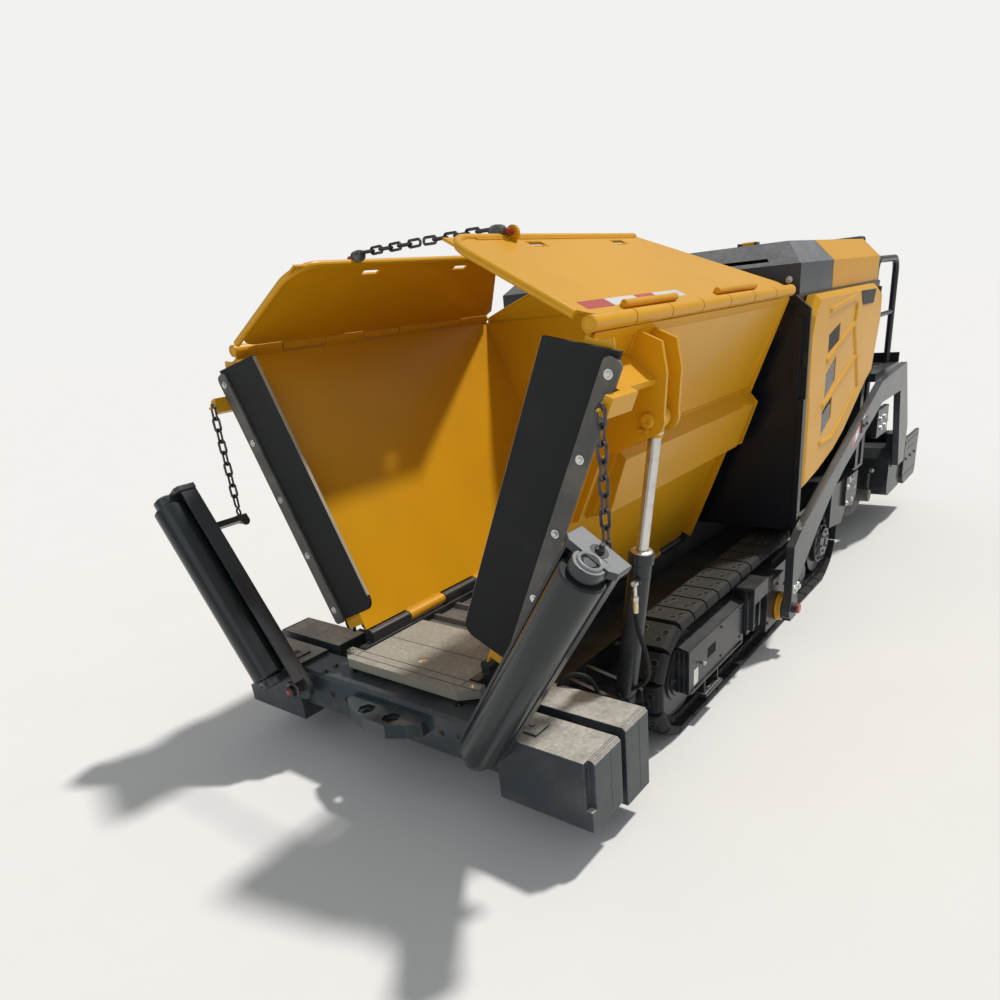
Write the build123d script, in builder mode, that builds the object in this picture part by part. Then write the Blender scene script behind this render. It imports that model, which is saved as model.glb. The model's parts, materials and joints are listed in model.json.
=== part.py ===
from build123d import *
from math import atan2, cos, degrees, hypot, pi, radians, sin
import os

os.makedirs("parts", exist_ok=True)

# Frame: +Z up from the ground, +Y towards the screed, +X the machine's left.
# The hopper is at the -Y end. Millimetres.

# overall
overall_length = 5000.0
front_end = -overall_length / 2
rear_end = overall_length / 2
running_gap = 6.0
seat_gap = 0.3
plate = 8.0
bite = 2.0

# hopper wings, as they stand when folded up
roller_ahead = 364.0
roller_radius = 70.0
wing_front = front_end + roller_radius + roller_ahead
wing_length = 1680.0
wing_rear = wing_front + wing_length
wing_hinge_x = 325.0
wing_hinge_z = 505.0
wing_slant = 1315.0
wing_lean = 65.8
wing_depth = 128.0
hinge_tube_radius = 24.0

# top flaps
flap_width = 570.0
flap_tilt = 152.0
flap_corner_radius = 110.0
flap_rear_cut = 480.0
rim_radius = 14.0

# rubber skirts on the wings' front edges
skirt_width = 233.0
skirt_thickness = 16.0
clamp_width = 62.0
clamp_thickness = 12.0

# tractor body
rear_overhang = 1296.0
body_front = wing_rear + 90.0
body_rear = rear_end - rear_overhang
body_length = body_rear - body_front
body_half_width = 930.0
body_floor_z = 590.0
body_top_z = 1680.0
wall_thickness = 20.0
shoulder_drop = 60.0
shoulder_in = 70.0
hood_half_width = body_half_width - 80.0
hood_top_z = 1910.0
door_thickness = 60.0

# tracks
track_outer_x = body_half_width - 88.0
shoe_width = 193.0
shoe_pitch = 128.0
shoe_gap = 12.0
shoe_thickness = 42.0
shoes_on_straight = 15
shoes_on_end = 6
link_thickness = 38.0
track_front = wing_front + 430.0

# conveyor
conveyor_half_width = 290.0
conveyor_z = 470.0
tunnel_height = 300.0

# push rollers
roller_length = 834.0
roller_lean = 57.3
roller_y = wing_front - roller_ahead

# bumper blocks
block_outer_x = body_half_width + 20.0

# screed and tow arms
arm_thickness = 40.0
arm_inner_x = body_half_width + running_gap - 1
arm_outer_x = arm_inner_x + arm_thickness
tow_pin_y = body_front - 130.0
tow_pin_z = 230.0
tow_pin_radius = 25.0
screed_half_width = body_half_width
screed_front = rear_end - 830.0
arm_reach = screed_front - tow_pin_y

# auger
auger_y = (body_rear + screed_front) / 2 - 27.0
auger_z = 330.0
auger_radius = 150.0
auger_half_length = body_half_width - 50.0


def unit(angle):
    return Vector(cos(radians(angle)), 0, sin(radians(angle)))


def slab(x, y, z, mode=Mode.ADD):
    """A plate or bar between two corners, given as (low, high) on each axis."""
    middle = ((x[0] + x[1]) / 2, (y[0] + y[1]) / 2, (z[0] + z[1]) / 2)
    with Locations(middle):
        Box(x[1] - x[0], y[1] - y[0], z[1] - z[0], mode=mode)


def outline(plane, points):
    """A closed outline of straight sides on a plane."""
    with BuildSketch(plane) as sketch:
        with BuildLine():
            Polyline(*points, close=True)
        make_face()
    return sketch.sketch


def across(y):
    """The upright plane that faces the front, at y: its axes are X and Z."""
    return Plane.XZ.offset(-y)


def along(x):
    """The upright plane that faces the left side, at x: its axes are Y and Z."""
    return Plane.YZ.offset(x)


def crossbar(centre, radius, length, mode=Mode.ADD):
    """A round bar along X."""
    with Locations(Location(centre, (0, 90, 0))):
        Cylinder(radius, length, mode=mode)


def lengthbar(centre, radius, length, mode=Mode.ADD):
    """A round bar along Y."""
    with Locations(Location(centre, (90, 0, 0))):
        Cylinder(radius, length, mode=mode)


def save(piece, name):
    piece.label = name
    export_step(piece, "parts/" + name + ".step")


def save_pair(piece, name):
    """Writes the left piece and its mirror image on the right."""
    save(piece, name + "_left")
    save(mirror(piece, about=Plane.YZ), name + "_right")


# chassis: a hull between the tracks, with the conveyor trough along its top
hull_half_width = track_outer_x - 322.0
hull_low_z = 210.0
hull_top_z = conveyor_z - 90.0
hull_front = wing_front - 60.0
hull_nose = 80.0
trough_wall = 40.0
trough_top = wing_hinge_z - hinge_tube_radius - running_gap
tunnel_top = conveyor_z + tunnel_height
trough_inner = conveyor_half_width + running_gap
trough_outer = trough_inner + trough_wall
track_cross_front = wing_front + 900.0
track_cross_rear = body_front + 200.0
with BuildPart() as chassis:
    extrude(outline(along(-hull_half_width), [(hull_front, hull_low_z + hull_nose),
                                              (hull_front + hull_nose, hull_low_z),
                                              (body_rear - hull_nose, hull_low_z),
                                              (body_rear, hull_low_z + hull_nose), (body_rear, hull_top_z),
                                              (hull_front, hull_top_z)]), amount=2 * hull_half_width)
    slab((-trough_outer, trough_outer), (hull_front, body_front), (hull_top_z, trough_top))
    slab((-trough_outer, trough_outer), (body_front, body_rear), (hull_top_z, tunnel_top))
    slab((-trough_inner, trough_inner), (hull_front, body_rear), (hull_top_z, tunnel_top - trough_wall),
         mode=Mode.SUBTRACT)

# conveyor: the slat bed of the two chains, in one node
slat_pitch = 150.0
slat_width = 40.0
slat_height = 24.0
conveyor_start = wing_front + 300.0
conveyor_end = body_rear + 20.0
slat_count = int((conveyor_end - conveyor_start) / slat_pitch)
bed_top = conveyor_z - slat_height + bite
with BuildPart() as conveyor:
    slab((-conveyor_half_width, conveyor_half_width), (conveyor_start, conveyor_end),
         (hull_top_z + seat_gap, bed_top))
    for i in range(slat_count):
        y = conveyor_start + slat_pitch * (i + 0.5)
        extrude(outline(along(10 - conveyor_half_width), [(y - slat_width / 2, bed_top - bite),
                                                          (y + slat_width / 2, bed_top - bite),
                                                          (y + slat_width / 4, conveyor_z),
                                                          (y - slat_width / 4, conveyor_z)]),
                amount=2 * conveyor_half_width - 20)
save(conveyor.part, "conveyor")

# hopper floor: the apron in front of the conveyor, whose wide lip stands out over the push beam
apron_hole = 22.0
lip_front = wing_front - 155.0
lip_half_width = 375.0
lip_corner = 70.0
lip_low_z = 428.0
with BuildPart() as hopper_floor:
    slab((-conveyor_half_width, conveyor_half_width), (hull_front + running_gap,
                                                       conveyor_start - running_gap),
         (hull_top_z + seat_gap, conveyor_z))
    extrude(outline(Plane.XY.offset(lip_low_z), [(-conveyor_half_width, hull_front + 2 * running_gap),
                                                 (-conveyor_half_width, hull_front - running_gap),
                                                 (-lip_half_width, hull_front - running_gap),
                                                 (-lip_half_width, lip_front + lip_corner * 0.8),
                                                 (-lip_half_width + lip_corner, lip_front),
                                                 (lip_half_width - lip_corner, lip_front),
                                                 (lip_half_width, lip_front + lip_corner * 0.8),
                                                 (lip_half_width, hull_front - running_gap),
                                                 (conveyor_half_width, hull_front - running_gap),
                                                 (conveyor_half_width, hull_front + 2 * running_gap)]),
            amount=conveyor_z - lip_low_z)
    with Locations((9, wing_front - 20, conveyor_z)):
        Hole(apron_hole, 30)
save(hopper_floor.part, "hopper_floor")

# push beam: the cross beam in front, with the arm brackets, their pins and stops, and the tow hook
beam_front = wing_front - 230.0
beam_half_width = 560.0
beam_low_z = 230.0
beam_top_z = 400.0
beam_chamfer = 14.0
arm_pivot_x = 497.0
arm_pivot_z = 349.0
arm_pin_radius = 22.0
arm_plate = 24.0
arm_rear = wing_front - 262.0
arm_front = arm_rear - arm_plate
arm_boss_radius = 62.0
pin_head = 34.0
hook_z = 300.0
hook_thickness = 60.0
hook_hole = 26.0
hook_hole_x = 70.0
hook_recess = 15.0
# the hook plate seen from above: across, and ahead of the beam
hook_plate = [(-205, 0), (-205, 45), (-150, 80), (-40, 118), (85, 118), (165, 75), (205, 35), (205, 0)]
with BuildPart() as push_beam:
    extrude(outline(along(-beam_half_width), [(beam_front, beam_low_z), (hull_front - seat_gap, beam_low_z),
                                              (hull_front - seat_gap, beam_top_z),
                                              (beam_front + beam_chamfer, beam_top_z),
                                              (beam_front, beam_top_z - beam_chamfer)]),
            amount=2 * beam_half_width)
    extrude(outline(Plane.XY.offset(hook_z), [(x, beam_front + bite - ahead) for x, ahead in hook_plate]),
            amount=hook_thickness)
    for x in (-hook_hole_x, hook_hole_x):
        with Locations((x, beam_front - 60, hook_z + hook_thickness)):
            Hole(hook_hole, hook_thickness)
        with BuildSketch(Plane.XY.offset(hook_z + hook_thickness)):
            with Locations((x, beam_front - 60)):
                RegularPolygon(hook_hole + 12, 6)
        extrude(amount=-hook_recess, mode=Mode.SUBTRACT)
    for side in (-1, 1):
        lengthbar((side * arm_pivot_x, (arm_front - pin_head + beam_front) / 2, arm_pivot_z),
                  arm_pin_radius, beam_front - arm_front + pin_head)
        lengthbar((side * arm_pivot_x, (arm_rear + running_gap + beam_front) / 2, arm_pivot_z),
                  arm_pin_radius + 18, beam_front - arm_rear - running_gap)
save(push_beam.part, "push_beam")

# bumper blocks on both sides of the hopper's front: a front one, and a rear one that carries it
block_low_z = 110.0
block_edge = 12.0
notch = 26.0
# each block: inner x, front and rear (from the wings' front), low z, top z
blocks = [(560.0, -256.0, -62.0, 150.0, 415.0), (hull_half_width + seat_gap, -28.0, 131.0, block_low_z,
                                                 428.0)]
with BuildPart() as bumper_block:
    for inner, front, rear, low, top in blocks:
        extrude(outline(across(wing_front + front), [(inner, low), (block_outer_x, low),
                                                     (block_outer_x, top - block_edge),
                                                     (block_outer_x - block_edge, top), (inner, top)]),
                amount=front - rear)
    slab((hull_half_width + 200, block_outer_x - 80), (wing_front - 66, wing_front - 20),
         (block_low_z + 60, 380))
    slab((block_outer_x - notch, block_outer_x + 1), (wing_front - 257, wing_front - 256 + notch),
         (blocks[0][3] + 80, blocks[0][4] + 1), mode=Mode.SUBTRACT)
save_pair(bumper_block.part, "bumper_block")

# tracks: two rings of chain links each, with the shoes across them
end_radius = shoes_on_end * shoe_pitch / pi
straight = shoes_on_straight * shoe_pitch
half_height = end_radius + shoe_thickness / 2
track_x = track_outer_x - shoe_width / 2
idler_y = track_front + half_height
sprocket_y = idler_y + straight
link_outer = end_radius - shoe_thickness / 2 + bite
inner_radius = link_outer - link_thickness
link_ring_width = 34.0
link_ring_offset = 26.0
shoe_slope = 26.0


def shoe_places():
    """Centre and turn of each shoe: top run, rear end, ground run, front end."""
    places = []
    for i in range(shoes_on_straight):
        places.append((idler_y + i * shoe_pitch, half_height + end_radius, 0))
        places.append((sprocket_y - i * shoe_pitch, half_height - end_radius, 180))
    for i in range(shoes_on_end):
        turn = i * 180 / shoes_on_end
        y = end_radius * sin(radians(turn))
        z = end_radius * cos(radians(turn))
        places.append((sprocket_y + y, half_height + z, -turn))
        places.append((idler_y - y, half_height - z, 180 - turn))
    return places


def shoe():
    """One shoe about its centre, its tread up and its ends sloped down."""
    half = shoe_width / 2
    top = shoe_thickness / 2
    with BuildPart() as piece:
        extrude(outline(Plane.XZ.offset((shoe_gap - shoe_pitch) / 2),
                        [(-half, -top), (half, -top), (half, top - shoe_slope),
                         (half - shoe_slope * 0.35, top - 8), (half - shoe_slope, top),
                         (shoe_slope - half, top), (shoe_slope * 0.35 - half, top - 8),
                         (-half, top - shoe_slope)]), amount=shoe_pitch - shoe_gap)
    return piece.part


track_shoe = shoe()
with BuildPart() as track:
    for side in (-1, 1):
        with BuildSketch(along(track_x + side * link_ring_offset + min(side, 0) * link_ring_width)):
            with Locations(((idler_y + sprocket_y) / 2, half_height)):
                SlotOverall(straight + 2 * link_outer, 2 * link_outer)
                SlotOverall(straight + 2 * inner_radius, 2 * inner_radius, mode=Mode.SUBTRACT)
        extrude(amount=link_ring_width)
    for y, z, turn in shoe_places():
        add(track_shoe.moved(Location((track_x, y, z), (turn, 0, 0))))
save_pair(track.part, "track")

# track frames, each with its idler, toothed drive wheel, rollers and side box
wheel_radius = inner_radius - seat_gap
tooth_height = 30.0
tooth_count = 12
hub_radius = 120.0
lower_roller_radius = 55.0
lower_rollers = 5
ring_outer_half = link_ring_offset + link_ring_width
side_box_front = track_front + 215.0
side_box_rear = track_front + 810.0
side_box_x = track_outer_x + 28.0
side_box_low = 200.0
side_box_top = 400.0
box_sheet = 8.0
window = ((track_front + 400, track_front + 488), (285, 335))
mast_front = track_front + 810.0
mast_rear = mast_front + 150.0
mast_top = 470.0
mast_inner = track_x + ring_outer_half + running_gap
cross_beams = [(track_cross_front, 160), (track_cross_rear, 220)]


with BuildPart() as track_frame:
    slab((track_x - 45, track_x + 45), (idler_y, sprocket_y), (half_height - 70, half_height + 60))
    for y in (idler_y, sprocket_y):
        crossbar((track_x, y, half_height), wheel_radius, 2 * (ring_outer_half - 8))
        crossbar((track_x + ring_outer_half - 14, y, half_height), hub_radius, 30)
    for i in range(tooth_count):
        turn = 180 * (i + 0.5) / tooth_count - 90
        with Locations(Location((track_x, sprocket_y, half_height), (turn, 0, 0))):
            with Locations((0, wheel_radius + tooth_height / 2 - 4, 0)):
                Box(2 * link_ring_offset - 12, tooth_height + 8, 26)
    for i in range(lower_rollers):
        y = idler_y + wheel_radius + 60 + i * (straight - 2 * wheel_radius - 120) / (lower_rollers - 1)
        z = half_height - wheel_radius + lower_roller_radius
        crossbar((track_x, y, z), lower_roller_radius, 2 * (ring_outer_half - 8))
        slab((track_x - 20, track_x + 20), (y - 30, y + 30), (z, half_height))
    # the side box: a sloping mud plate, an upright side plate with a window, and a step
    section = [(track_x + 40, side_box_top + 22), (side_box_x, side_box_top), (side_box_x, side_box_low)]
    inner_section = [(side_box_x - box_sheet, side_box_low), (side_box_x - box_sheet,
                                                              side_box_top - box_sheet),
                     (track_x + 40, side_box_top + 22 - box_sheet)]
    extrude(outline(across(side_box_front), section + inner_section),
            amount=side_box_front - side_box_rear - bite)
    slab((side_box_x - 20, side_box_x + 20), *window, mode=Mode.SUBTRACT)
    slab((track_x + 40, side_box_x), (side_box_front, side_box_front + box_sheet),
         (side_box_low, side_box_top))
    slab((track_x + 40, side_box_x), (side_box_rear - 60, side_box_rear), (side_box_low, half_height + 40))
    slab((side_box_x - 86, side_box_x + 16), (side_box_front + 145, side_box_front + 320), (118, 130))
    for y in (side_box_front + 160, side_box_front + 297):
        slab((side_box_x - box_sheet, side_box_x), (y, y + box_sheet), (124, side_box_low + 10))
    # the mast box behind it, with its beige cap
    slab((track_x + 40, side_box_x), (mast_front, mast_rear), (230, half_height + 50))
    slab((mast_inner, side_box_x + 18), (mast_front, mast_rear), (230, mast_top - 10))
    slab((mast_inner, arm_inner_x - 2 * running_gap), (mast_front - 12, mast_rear + 14),
         (mast_top - 15, mast_top))
    slab((arm_inner_x - 2 * running_gap - 8, arm_inner_x - 2 * running_gap),
         (mast_front - 12, mast_rear + 14), (390, mast_top - 10))
    for y in (mast_front + 40, mast_rear - 40):
        slab((side_box_x + 17, side_box_x + 34), (y, y + 10), (235, mast_top - 14))
    for y, width in cross_beams:
        slab((hull_half_width + seat_gap, track_x), (y, y + width), (hull_low_z + 30, hull_low_z + 130))
    # the tow point: a guide post that carries the pin of the tow arm
    slab((track_x, arm_inner_x - 6 * running_gap), (tow_pin_y - 170, tow_pin_y + 60),
         (tow_pin_z - 80, tow_pin_z + 170))
    crossbar(((arm_inner_x - 20), tow_pin_y, tow_pin_z), 62, 40 - running_gap)
    crossbar(((track_x + arm_outer_x + 25) / 2, tow_pin_y, tow_pin_z), tow_pin_radius,
             arm_outer_x + 25 - track_x)
save_pair(track_frame.part, "track_frame")

# hopper wings
up_slant = unit(wing_lean)
wing_face = Plane(origin=(wing_hinge_x, 0, wing_hinge_z), x_dir=up_slant, z_dir=unit(wing_lean + 90))
wing_low = hinge_tube_radius + running_gap
wing_high = wing_slant - hinge_tube_radius - running_gap
eye_y = wing_front + 348.0
eye_x = 892.0
eye_z = 1392.0
eye_reach = hypot(eye_x - wing_hinge_x, eye_z - wing_hinge_z)
eye_angle = radians(wing_lean) - atan2(eye_z - wing_hinge_z, eye_x - wing_hinge_x)
eye_slant = eye_reach * cos(eye_angle)
eye_depth = eye_reach * sin(eye_angle)
eye_boss = 54.0
eye_pin_radius = 18.0
eye_pin_head = 10.0
rib_gap = 90.0
rib_plate = 14.0
rib_front = eye_y - rib_gap / 2 - rib_plate
rib_rear = eye_y + rib_gap / 2 + rib_plate
knuckle_count = 7
knuckle_pitch = wing_length / knuckle_count
pin_radius = 12.0
pin_play = 0.5


def wing_section(y, depth, points):
    """A shape across the wing: points are (up the slant, outwards), depth runs rearwards."""
    plane = Plane(origin=(wing_hinge_x, y, wing_hinge_z), x_dir=up_slant, z_dir=(0, -1, 0))
    extrude(outline(plane, [(s, -t) for s, t in points]), amount=-depth)


def knuckles(x, z, numbers, bore):
    """Hinge knuckles along Y, every other one of the row."""
    for i in numbers:
        y = wing_front + knuckle_pitch * (i + 0.5)
        lengthbar((x, y, z), hinge_tube_radius, knuckle_pitch - running_gap)
        if bore:
            lengthbar((x, y, z), pin_radius + pin_play, knuckle_pitch, mode=Mode.SUBTRACT)


chain_x = 950.0
chain_y = wing_front - 100.0
chain_pin_z = 1490.0
chain_pin_radius = 4.5
top_x = wing_hinge_x + wing_slant * cos(radians(wing_lean))
top_z = wing_hinge_z + wing_slant * sin(radians(wing_lean))
panel_low = wing_face.from_local_coords((60, 0, 0))
panel_high = wing_face.from_local_coords((wing_high, 0, 0))
# the stiffeners in section: up the slant, outwards
front_edge = [(60, 0), (wing_high, 0), (wing_high, 40), (wing_slant - 4, 84), (wing_slant - 22, 96),
              (1230, 104), (1175, 118), (1148, 92), (1136, wing_depth), (1104, wing_depth), (1080, 112),
              (60, 112)]
ledge = [(1200, 0), (1170, 130), (1150, 130), (1050, 0)]
long_box = [(872, 0), (835, 81), (624, 97), (545, 0)]
rear_edge = [(60, 0), (wing_high, 0), (wing_high, 12), (870, 30), (545, 46), (116, 60), (60, 60)]
rib = [(1276, 0), (1276, 100), (1199, 152), (eye_slant + 40, eye_depth + 40),
       (eye_slant - 45, eye_depth + 30), (900, 96), (860, 42), (590, 40), (560, 0)]
box_end = 70.0
with BuildPart() as wing:
    wing_section(wing_front, wing_length, [(wing_low, 0), (wing_high, 0), (wing_high, plate),
                                           (wing_low, plate)])
    wing_section(wing_front, plate, front_edge)
    wing_section(wing_rear - plate, plate, rear_edge)
    wing_section(wing_front, rib_front - wing_front + bite, ledge)
    wing_section(rib_rear - bite, wing_rear - rib_rear, long_box)
    end_cut = Plane(origin=(wing_hinge_x, 0, wing_hinge_z), x_dir=(0, 1, 0), z_dir=up_slant)
    extrude(outline(end_cut, [(wing_rear - box_end - plate, -110), (wing_rear - plate, -plate),
                              (wing_rear - plate, -110)]), amount=1000, mode=Mode.SUBTRACT)
    for y in (rib_front, rib_rear - rib_plate):
        wing_section(y, rib_plate, rib)
        lengthbar((eye_x, y + rib_plate / 2, eye_z), eye_boss, rib_plate)
    for y in (rib_front - eye_pin_head, rib_rear):
        lengthbar((eye_x, y + eye_pin_head / 2, eye_z), eye_pin_radius, eye_pin_head)
    wing_section(wing_front, 60, [(1130, 100), (1190, 100), (1190, 185), (1130, 185)])
    wing_section(chain_y + 15, wing_front - chain_y, [(1130, 157), (1190, 157), (1190, 185), (1130, 185)])
    lengthbar((chain_x, chain_y, chain_pin_z), chain_pin_radius, 34)
    extrude(outline(across(wing_rear - plate), [(running_gap, panel_low.Z), (panel_low.X, panel_low.Z),
                                                (panel_high.X, panel_high.Z), (running_gap, panel_high.Z)]),
            amount=-plate)
    for i in range(1, knuckle_count, 2):
        y = wing_front + knuckle_pitch * i + running_gap / 2
        wing_section(y, knuckle_pitch - running_gap, [(0, -4), (wing_low, -4), (wing_low, plate),
                                                      (0, plate)])
        wing_section(y + 30, knuckle_pitch - 60 - running_gap, [(8, 18), (wing_low + 60, plate),
                                                                (wing_low + 60, plate - 3), (4, 12)])
    for i in range(0, knuckle_count, 2):
        y = wing_front + knuckle_pitch * i + running_gap / 2
        wing_section(y, knuckle_pitch - running_gap, [(wing_high, -4), (wing_slant, -4),
                                                      (wing_slant, plate), (wing_high, plate)])
    knuckles(wing_hinge_x, wing_hinge_z, range(1, knuckle_count, 2), True)
    knuckles(top_x, top_z, range(0, knuckle_count, 2), False)
    lengthbar((top_x, wing_front + wing_length / 2, top_z), pin_radius, wing_length - running_gap)
save_pair(wing.part, "wing")

# top flaps, with a rolled rim on the free edges and a lug for the chain between them
flap_face = Plane(origin=(top_x, 0, top_z), x_dir=unit(flap_tilt), z_dir=unit(flap_tilt + 90))
flap_low = hinge_tube_radius + running_gap
flap_rear = wing_rear - flap_rear_cut
flap_chain_y = wing_front + 300.0
lug_radius = 26.0
lug_hole = 9.0
lug_plate = 12.0
lug_hole_rise = 8.0
lug_y = flap_chain_y + 24.0
lug_spot = flap_face.from_local_coords((flap_width - 18, 0, -plate - 18))
slot_size = (28, 90)
with BuildPart() as flap:
    with BuildSketch(flap_face) as sheet:
        with BuildLine():
            Polyline((flap_low, wing_front), (flap_width, wing_front), (flap_width, flap_rear),
                     (flap_low + 40, wing_rear - 10), (flap_low, wing_rear - 10), close=True)
        make_face()
        corner = sheet.vertices().group_by(Axis.Y)[0].sort_by(Axis.X)[0]
        fillet(corner, flap_corner_radius)
        with Locations((flap_width - 60, wing_front + 420), (flap_width - 60, wing_front + 980)):
            Rectangle(*slot_size, mode=Mode.SUBTRACT)
    extrude(amount=-plate)
    with BuildLine(flap_face.offset(-plate / 2)) as rim_path:
        FilletPolyline((flap_low + 20, wing_front), (flap_width, wing_front), (flap_width, flap_rear),
                       radius=flap_corner_radius)
    with BuildSketch(Plane(origin=rim_path.wires()[0] @ 0, z_dir=rim_path.wires()[0] % 0)):
        RegularPolygon(rim_radius, 12)
    sweep(path=rim_path.wires()[0])
    for i in range(1, knuckle_count, 2):
        y = wing_front + knuckle_pitch * i + running_gap / 2
        extrude(outline(flap_face, [(0, y), (flap_low, y), (flap_low, y + knuckle_pitch - running_gap),
                                    (0, y + knuckle_pitch - running_gap)]), amount=-plate)
    knuckles(top_x, top_z, range(1, knuckle_count, 2), True)
    lengthbar((lug_spot.X, lug_y, lug_spot.Z), lug_radius, lug_plate)
    lengthbar((lug_spot.X, lug_y, lug_spot.Z + lug_hole_rise), lug_hole, 2 * lug_plate, mode=Mode.SUBTRACT)
save_pair(flap.part, "flap")

# rubber skirts, clamped on the wings' front edges
skirt_inner = -(skirt_width - wing_depth + 23)
skirt_low = 110.0
skirt_corner = 50.0
clamp_outer = wing_depth + 23
with BuildPart() as skirt:
    wing_section(wing_front - seat_gap - skirt_thickness, skirt_thickness,
                 [(skirt_low, skirt_inner), (1235, skirt_inner), (1290, wing_depth),
                  (skirt_low, wing_depth)])
    low_edges = skirt.edges().filter_by(Axis.Y).sort_by(Axis.Z)[:2]
    fillet(low_edges, skirt_corner)
save_pair(skirt.part, "skirt")

skirt_front = wing_front - 2 * seat_gap - skirt_thickness
with BuildPart() as clamp:
    wing_section(skirt_front - clamp_thickness, clamp_thickness,
                 [(100, clamp_outer - clamp_width), (1270, clamp_outer - clamp_width), (1270, clamp_outer),
                  (100, clamp_outer)])
    fillet(clamp.edges().filter_by(Axis.Y), clamp_width / 3)
save_pair(clamp.part, "skirt_clamp")

# wing cylinders: barrel on a pin at the chassis, rod with its eye and pin between the ribs
base_x = body_half_width - 195.0
base_z = 290.0
barrel_radius = 42.0
rod_radius = 22.0
barrel_length = 640.0
collar = 6.0
eye_radius = 36.0
eye_width = 50.0
bore_start = 65.0
rod_stroke = 302.0
cylinder_length = hypot(eye_x - base_x, eye_z - base_z)
cylinder_lean = degrees(atan2(eye_z - base_z, eye_x - base_x))
cylinder_axis = unit(cylinder_lean)


def turned(points):
    """A turned piece about the cylinder's axis: points are (along it from the base pin, radius)."""
    plane = Plane(origin=(base_x, eye_y, base_z), x_dir=cylinder_axis, z_dir=(0, -1, 0))
    half = outline(plane, [(points[0][0], 0), *points, (points[-1][0], 0)])
    revolve(half, axis=Axis((base_x, eye_y, base_z), cylinder_axis))


with BuildPart() as barrel:
    turned([(30, eye_radius - 4), (50, barrel_radius), (barrel_length - 46, barrel_radius),
            (barrel_length - 40, barrel_radius + collar), (barrel_length - 4, barrel_radius + collar),
            (barrel_length, barrel_radius + 2)])
    lengthbar((base_x, eye_y, base_z), eye_radius, eye_width)
    lengthbar((base_x, eye_y, base_z), eye_pin_radius + pin_play, eye_width, mode=Mode.SUBTRACT)
    bore_middle = Vector(base_x, eye_y, base_z) + cylinder_axis * ((bore_start + barrel_length + 20) / 2)
    with Locations(Location(bore_middle, (0, 90 - cylinder_lean, 0))):
        Cylinder(rod_radius + pin_play, barrel_length + 20 - bore_start, mode=Mode.SUBTRACT)
save_pair(barrel.part, "wing_cylinder_barrel")

rod_start = bore_start + rod_stroke + running_gap
with BuildPart() as rod:
    turned([(rod_start, rod_radius - 3), (rod_start + 3, rod_radius), (cylinder_length - 60, rod_radius),
            (cylinder_length - 50, eye_radius - 8), (cylinder_length - 20, eye_radius - 8)])
    lengthbar((eye_x, eye_y, eye_z), eye_radius, eye_width)
    lengthbar((eye_x, eye_y, eye_z), eye_pin_radius, rib_gap - 2 * running_gap)
save_pair(rod.part, "wing_cylinder_rod")

# the chassis also carries the wings' lower knuckles and pins and the cylinders' feet
foot_gap = 2 * (barrel_radius + collar + running_gap)
foot_plate = 20.0
with BuildPart() as chassis_side:
    knuckles(wing_hinge_x, wing_hinge_z, range(0, knuckle_count, 2), False)
    lengthbar((wing_hinge_x, wing_front + wing_length / 2, wing_hinge_z), pin_radius,
              wing_length - running_gap)
    for i in range(0, knuckle_count, 2):
        y = wing_front + knuckle_pitch * i + running_gap / 2
        slab((wing_hinge_x - 20, wing_hinge_x + 10), (y, y + knuckle_pitch - running_gap),
             (trough_top - 10, wing_hinge_z))
    for y in (eye_y - foot_gap / 2 - foot_plate, eye_y + foot_gap / 2):
        extrude(outline(across(y), [(hull_half_width - 10, hull_low_z + 20), (base_x, base_z - 45),
                                    (base_x + 45, base_z - 25), (base_x + 45, base_z + 25),
                                    (base_x + 20, base_z + 45), (base_x - 40, base_z + 45),
                                    (hull_half_width - 10, hull_top_z - 10)]), amount=-foot_plate)
    lengthbar((base_x, eye_y, base_z), eye_pin_radius, foot_gap + foot_plate)
with BuildPart() as full_chassis:
    add(chassis.part)
    add(chassis_side.part)
    add(mirror(chassis_side.part, about=Plane.YZ))
save(full_chassis.part, "chassis")

# push roller arms: a channel with a cap, bearings and a chain lug; and their rollers
roller_along = 101.0
roller_out = 38.6
arm_tilt = unit(roller_lean)
arm_side = unit(roller_lean - 90)


def arm_section(y, depth, points):
    """A shape in the arm's plane: points are (up the arm, outwards), depth runs rearwards."""
    plane = Plane(origin=(arm_pivot_x, y, arm_pivot_z), x_dir=arm_tilt, z_dir=(0, -1, 0))
    extrude(outline(plane, [(s, -t) for s, t in points]), amount=-depth)


def on_arm(s, t):
    spot = Vector(arm_pivot_x, 0, arm_pivot_z) + arm_tilt * s + arm_side * t
    return (spot.X, roller_y, spot.Z)


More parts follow.
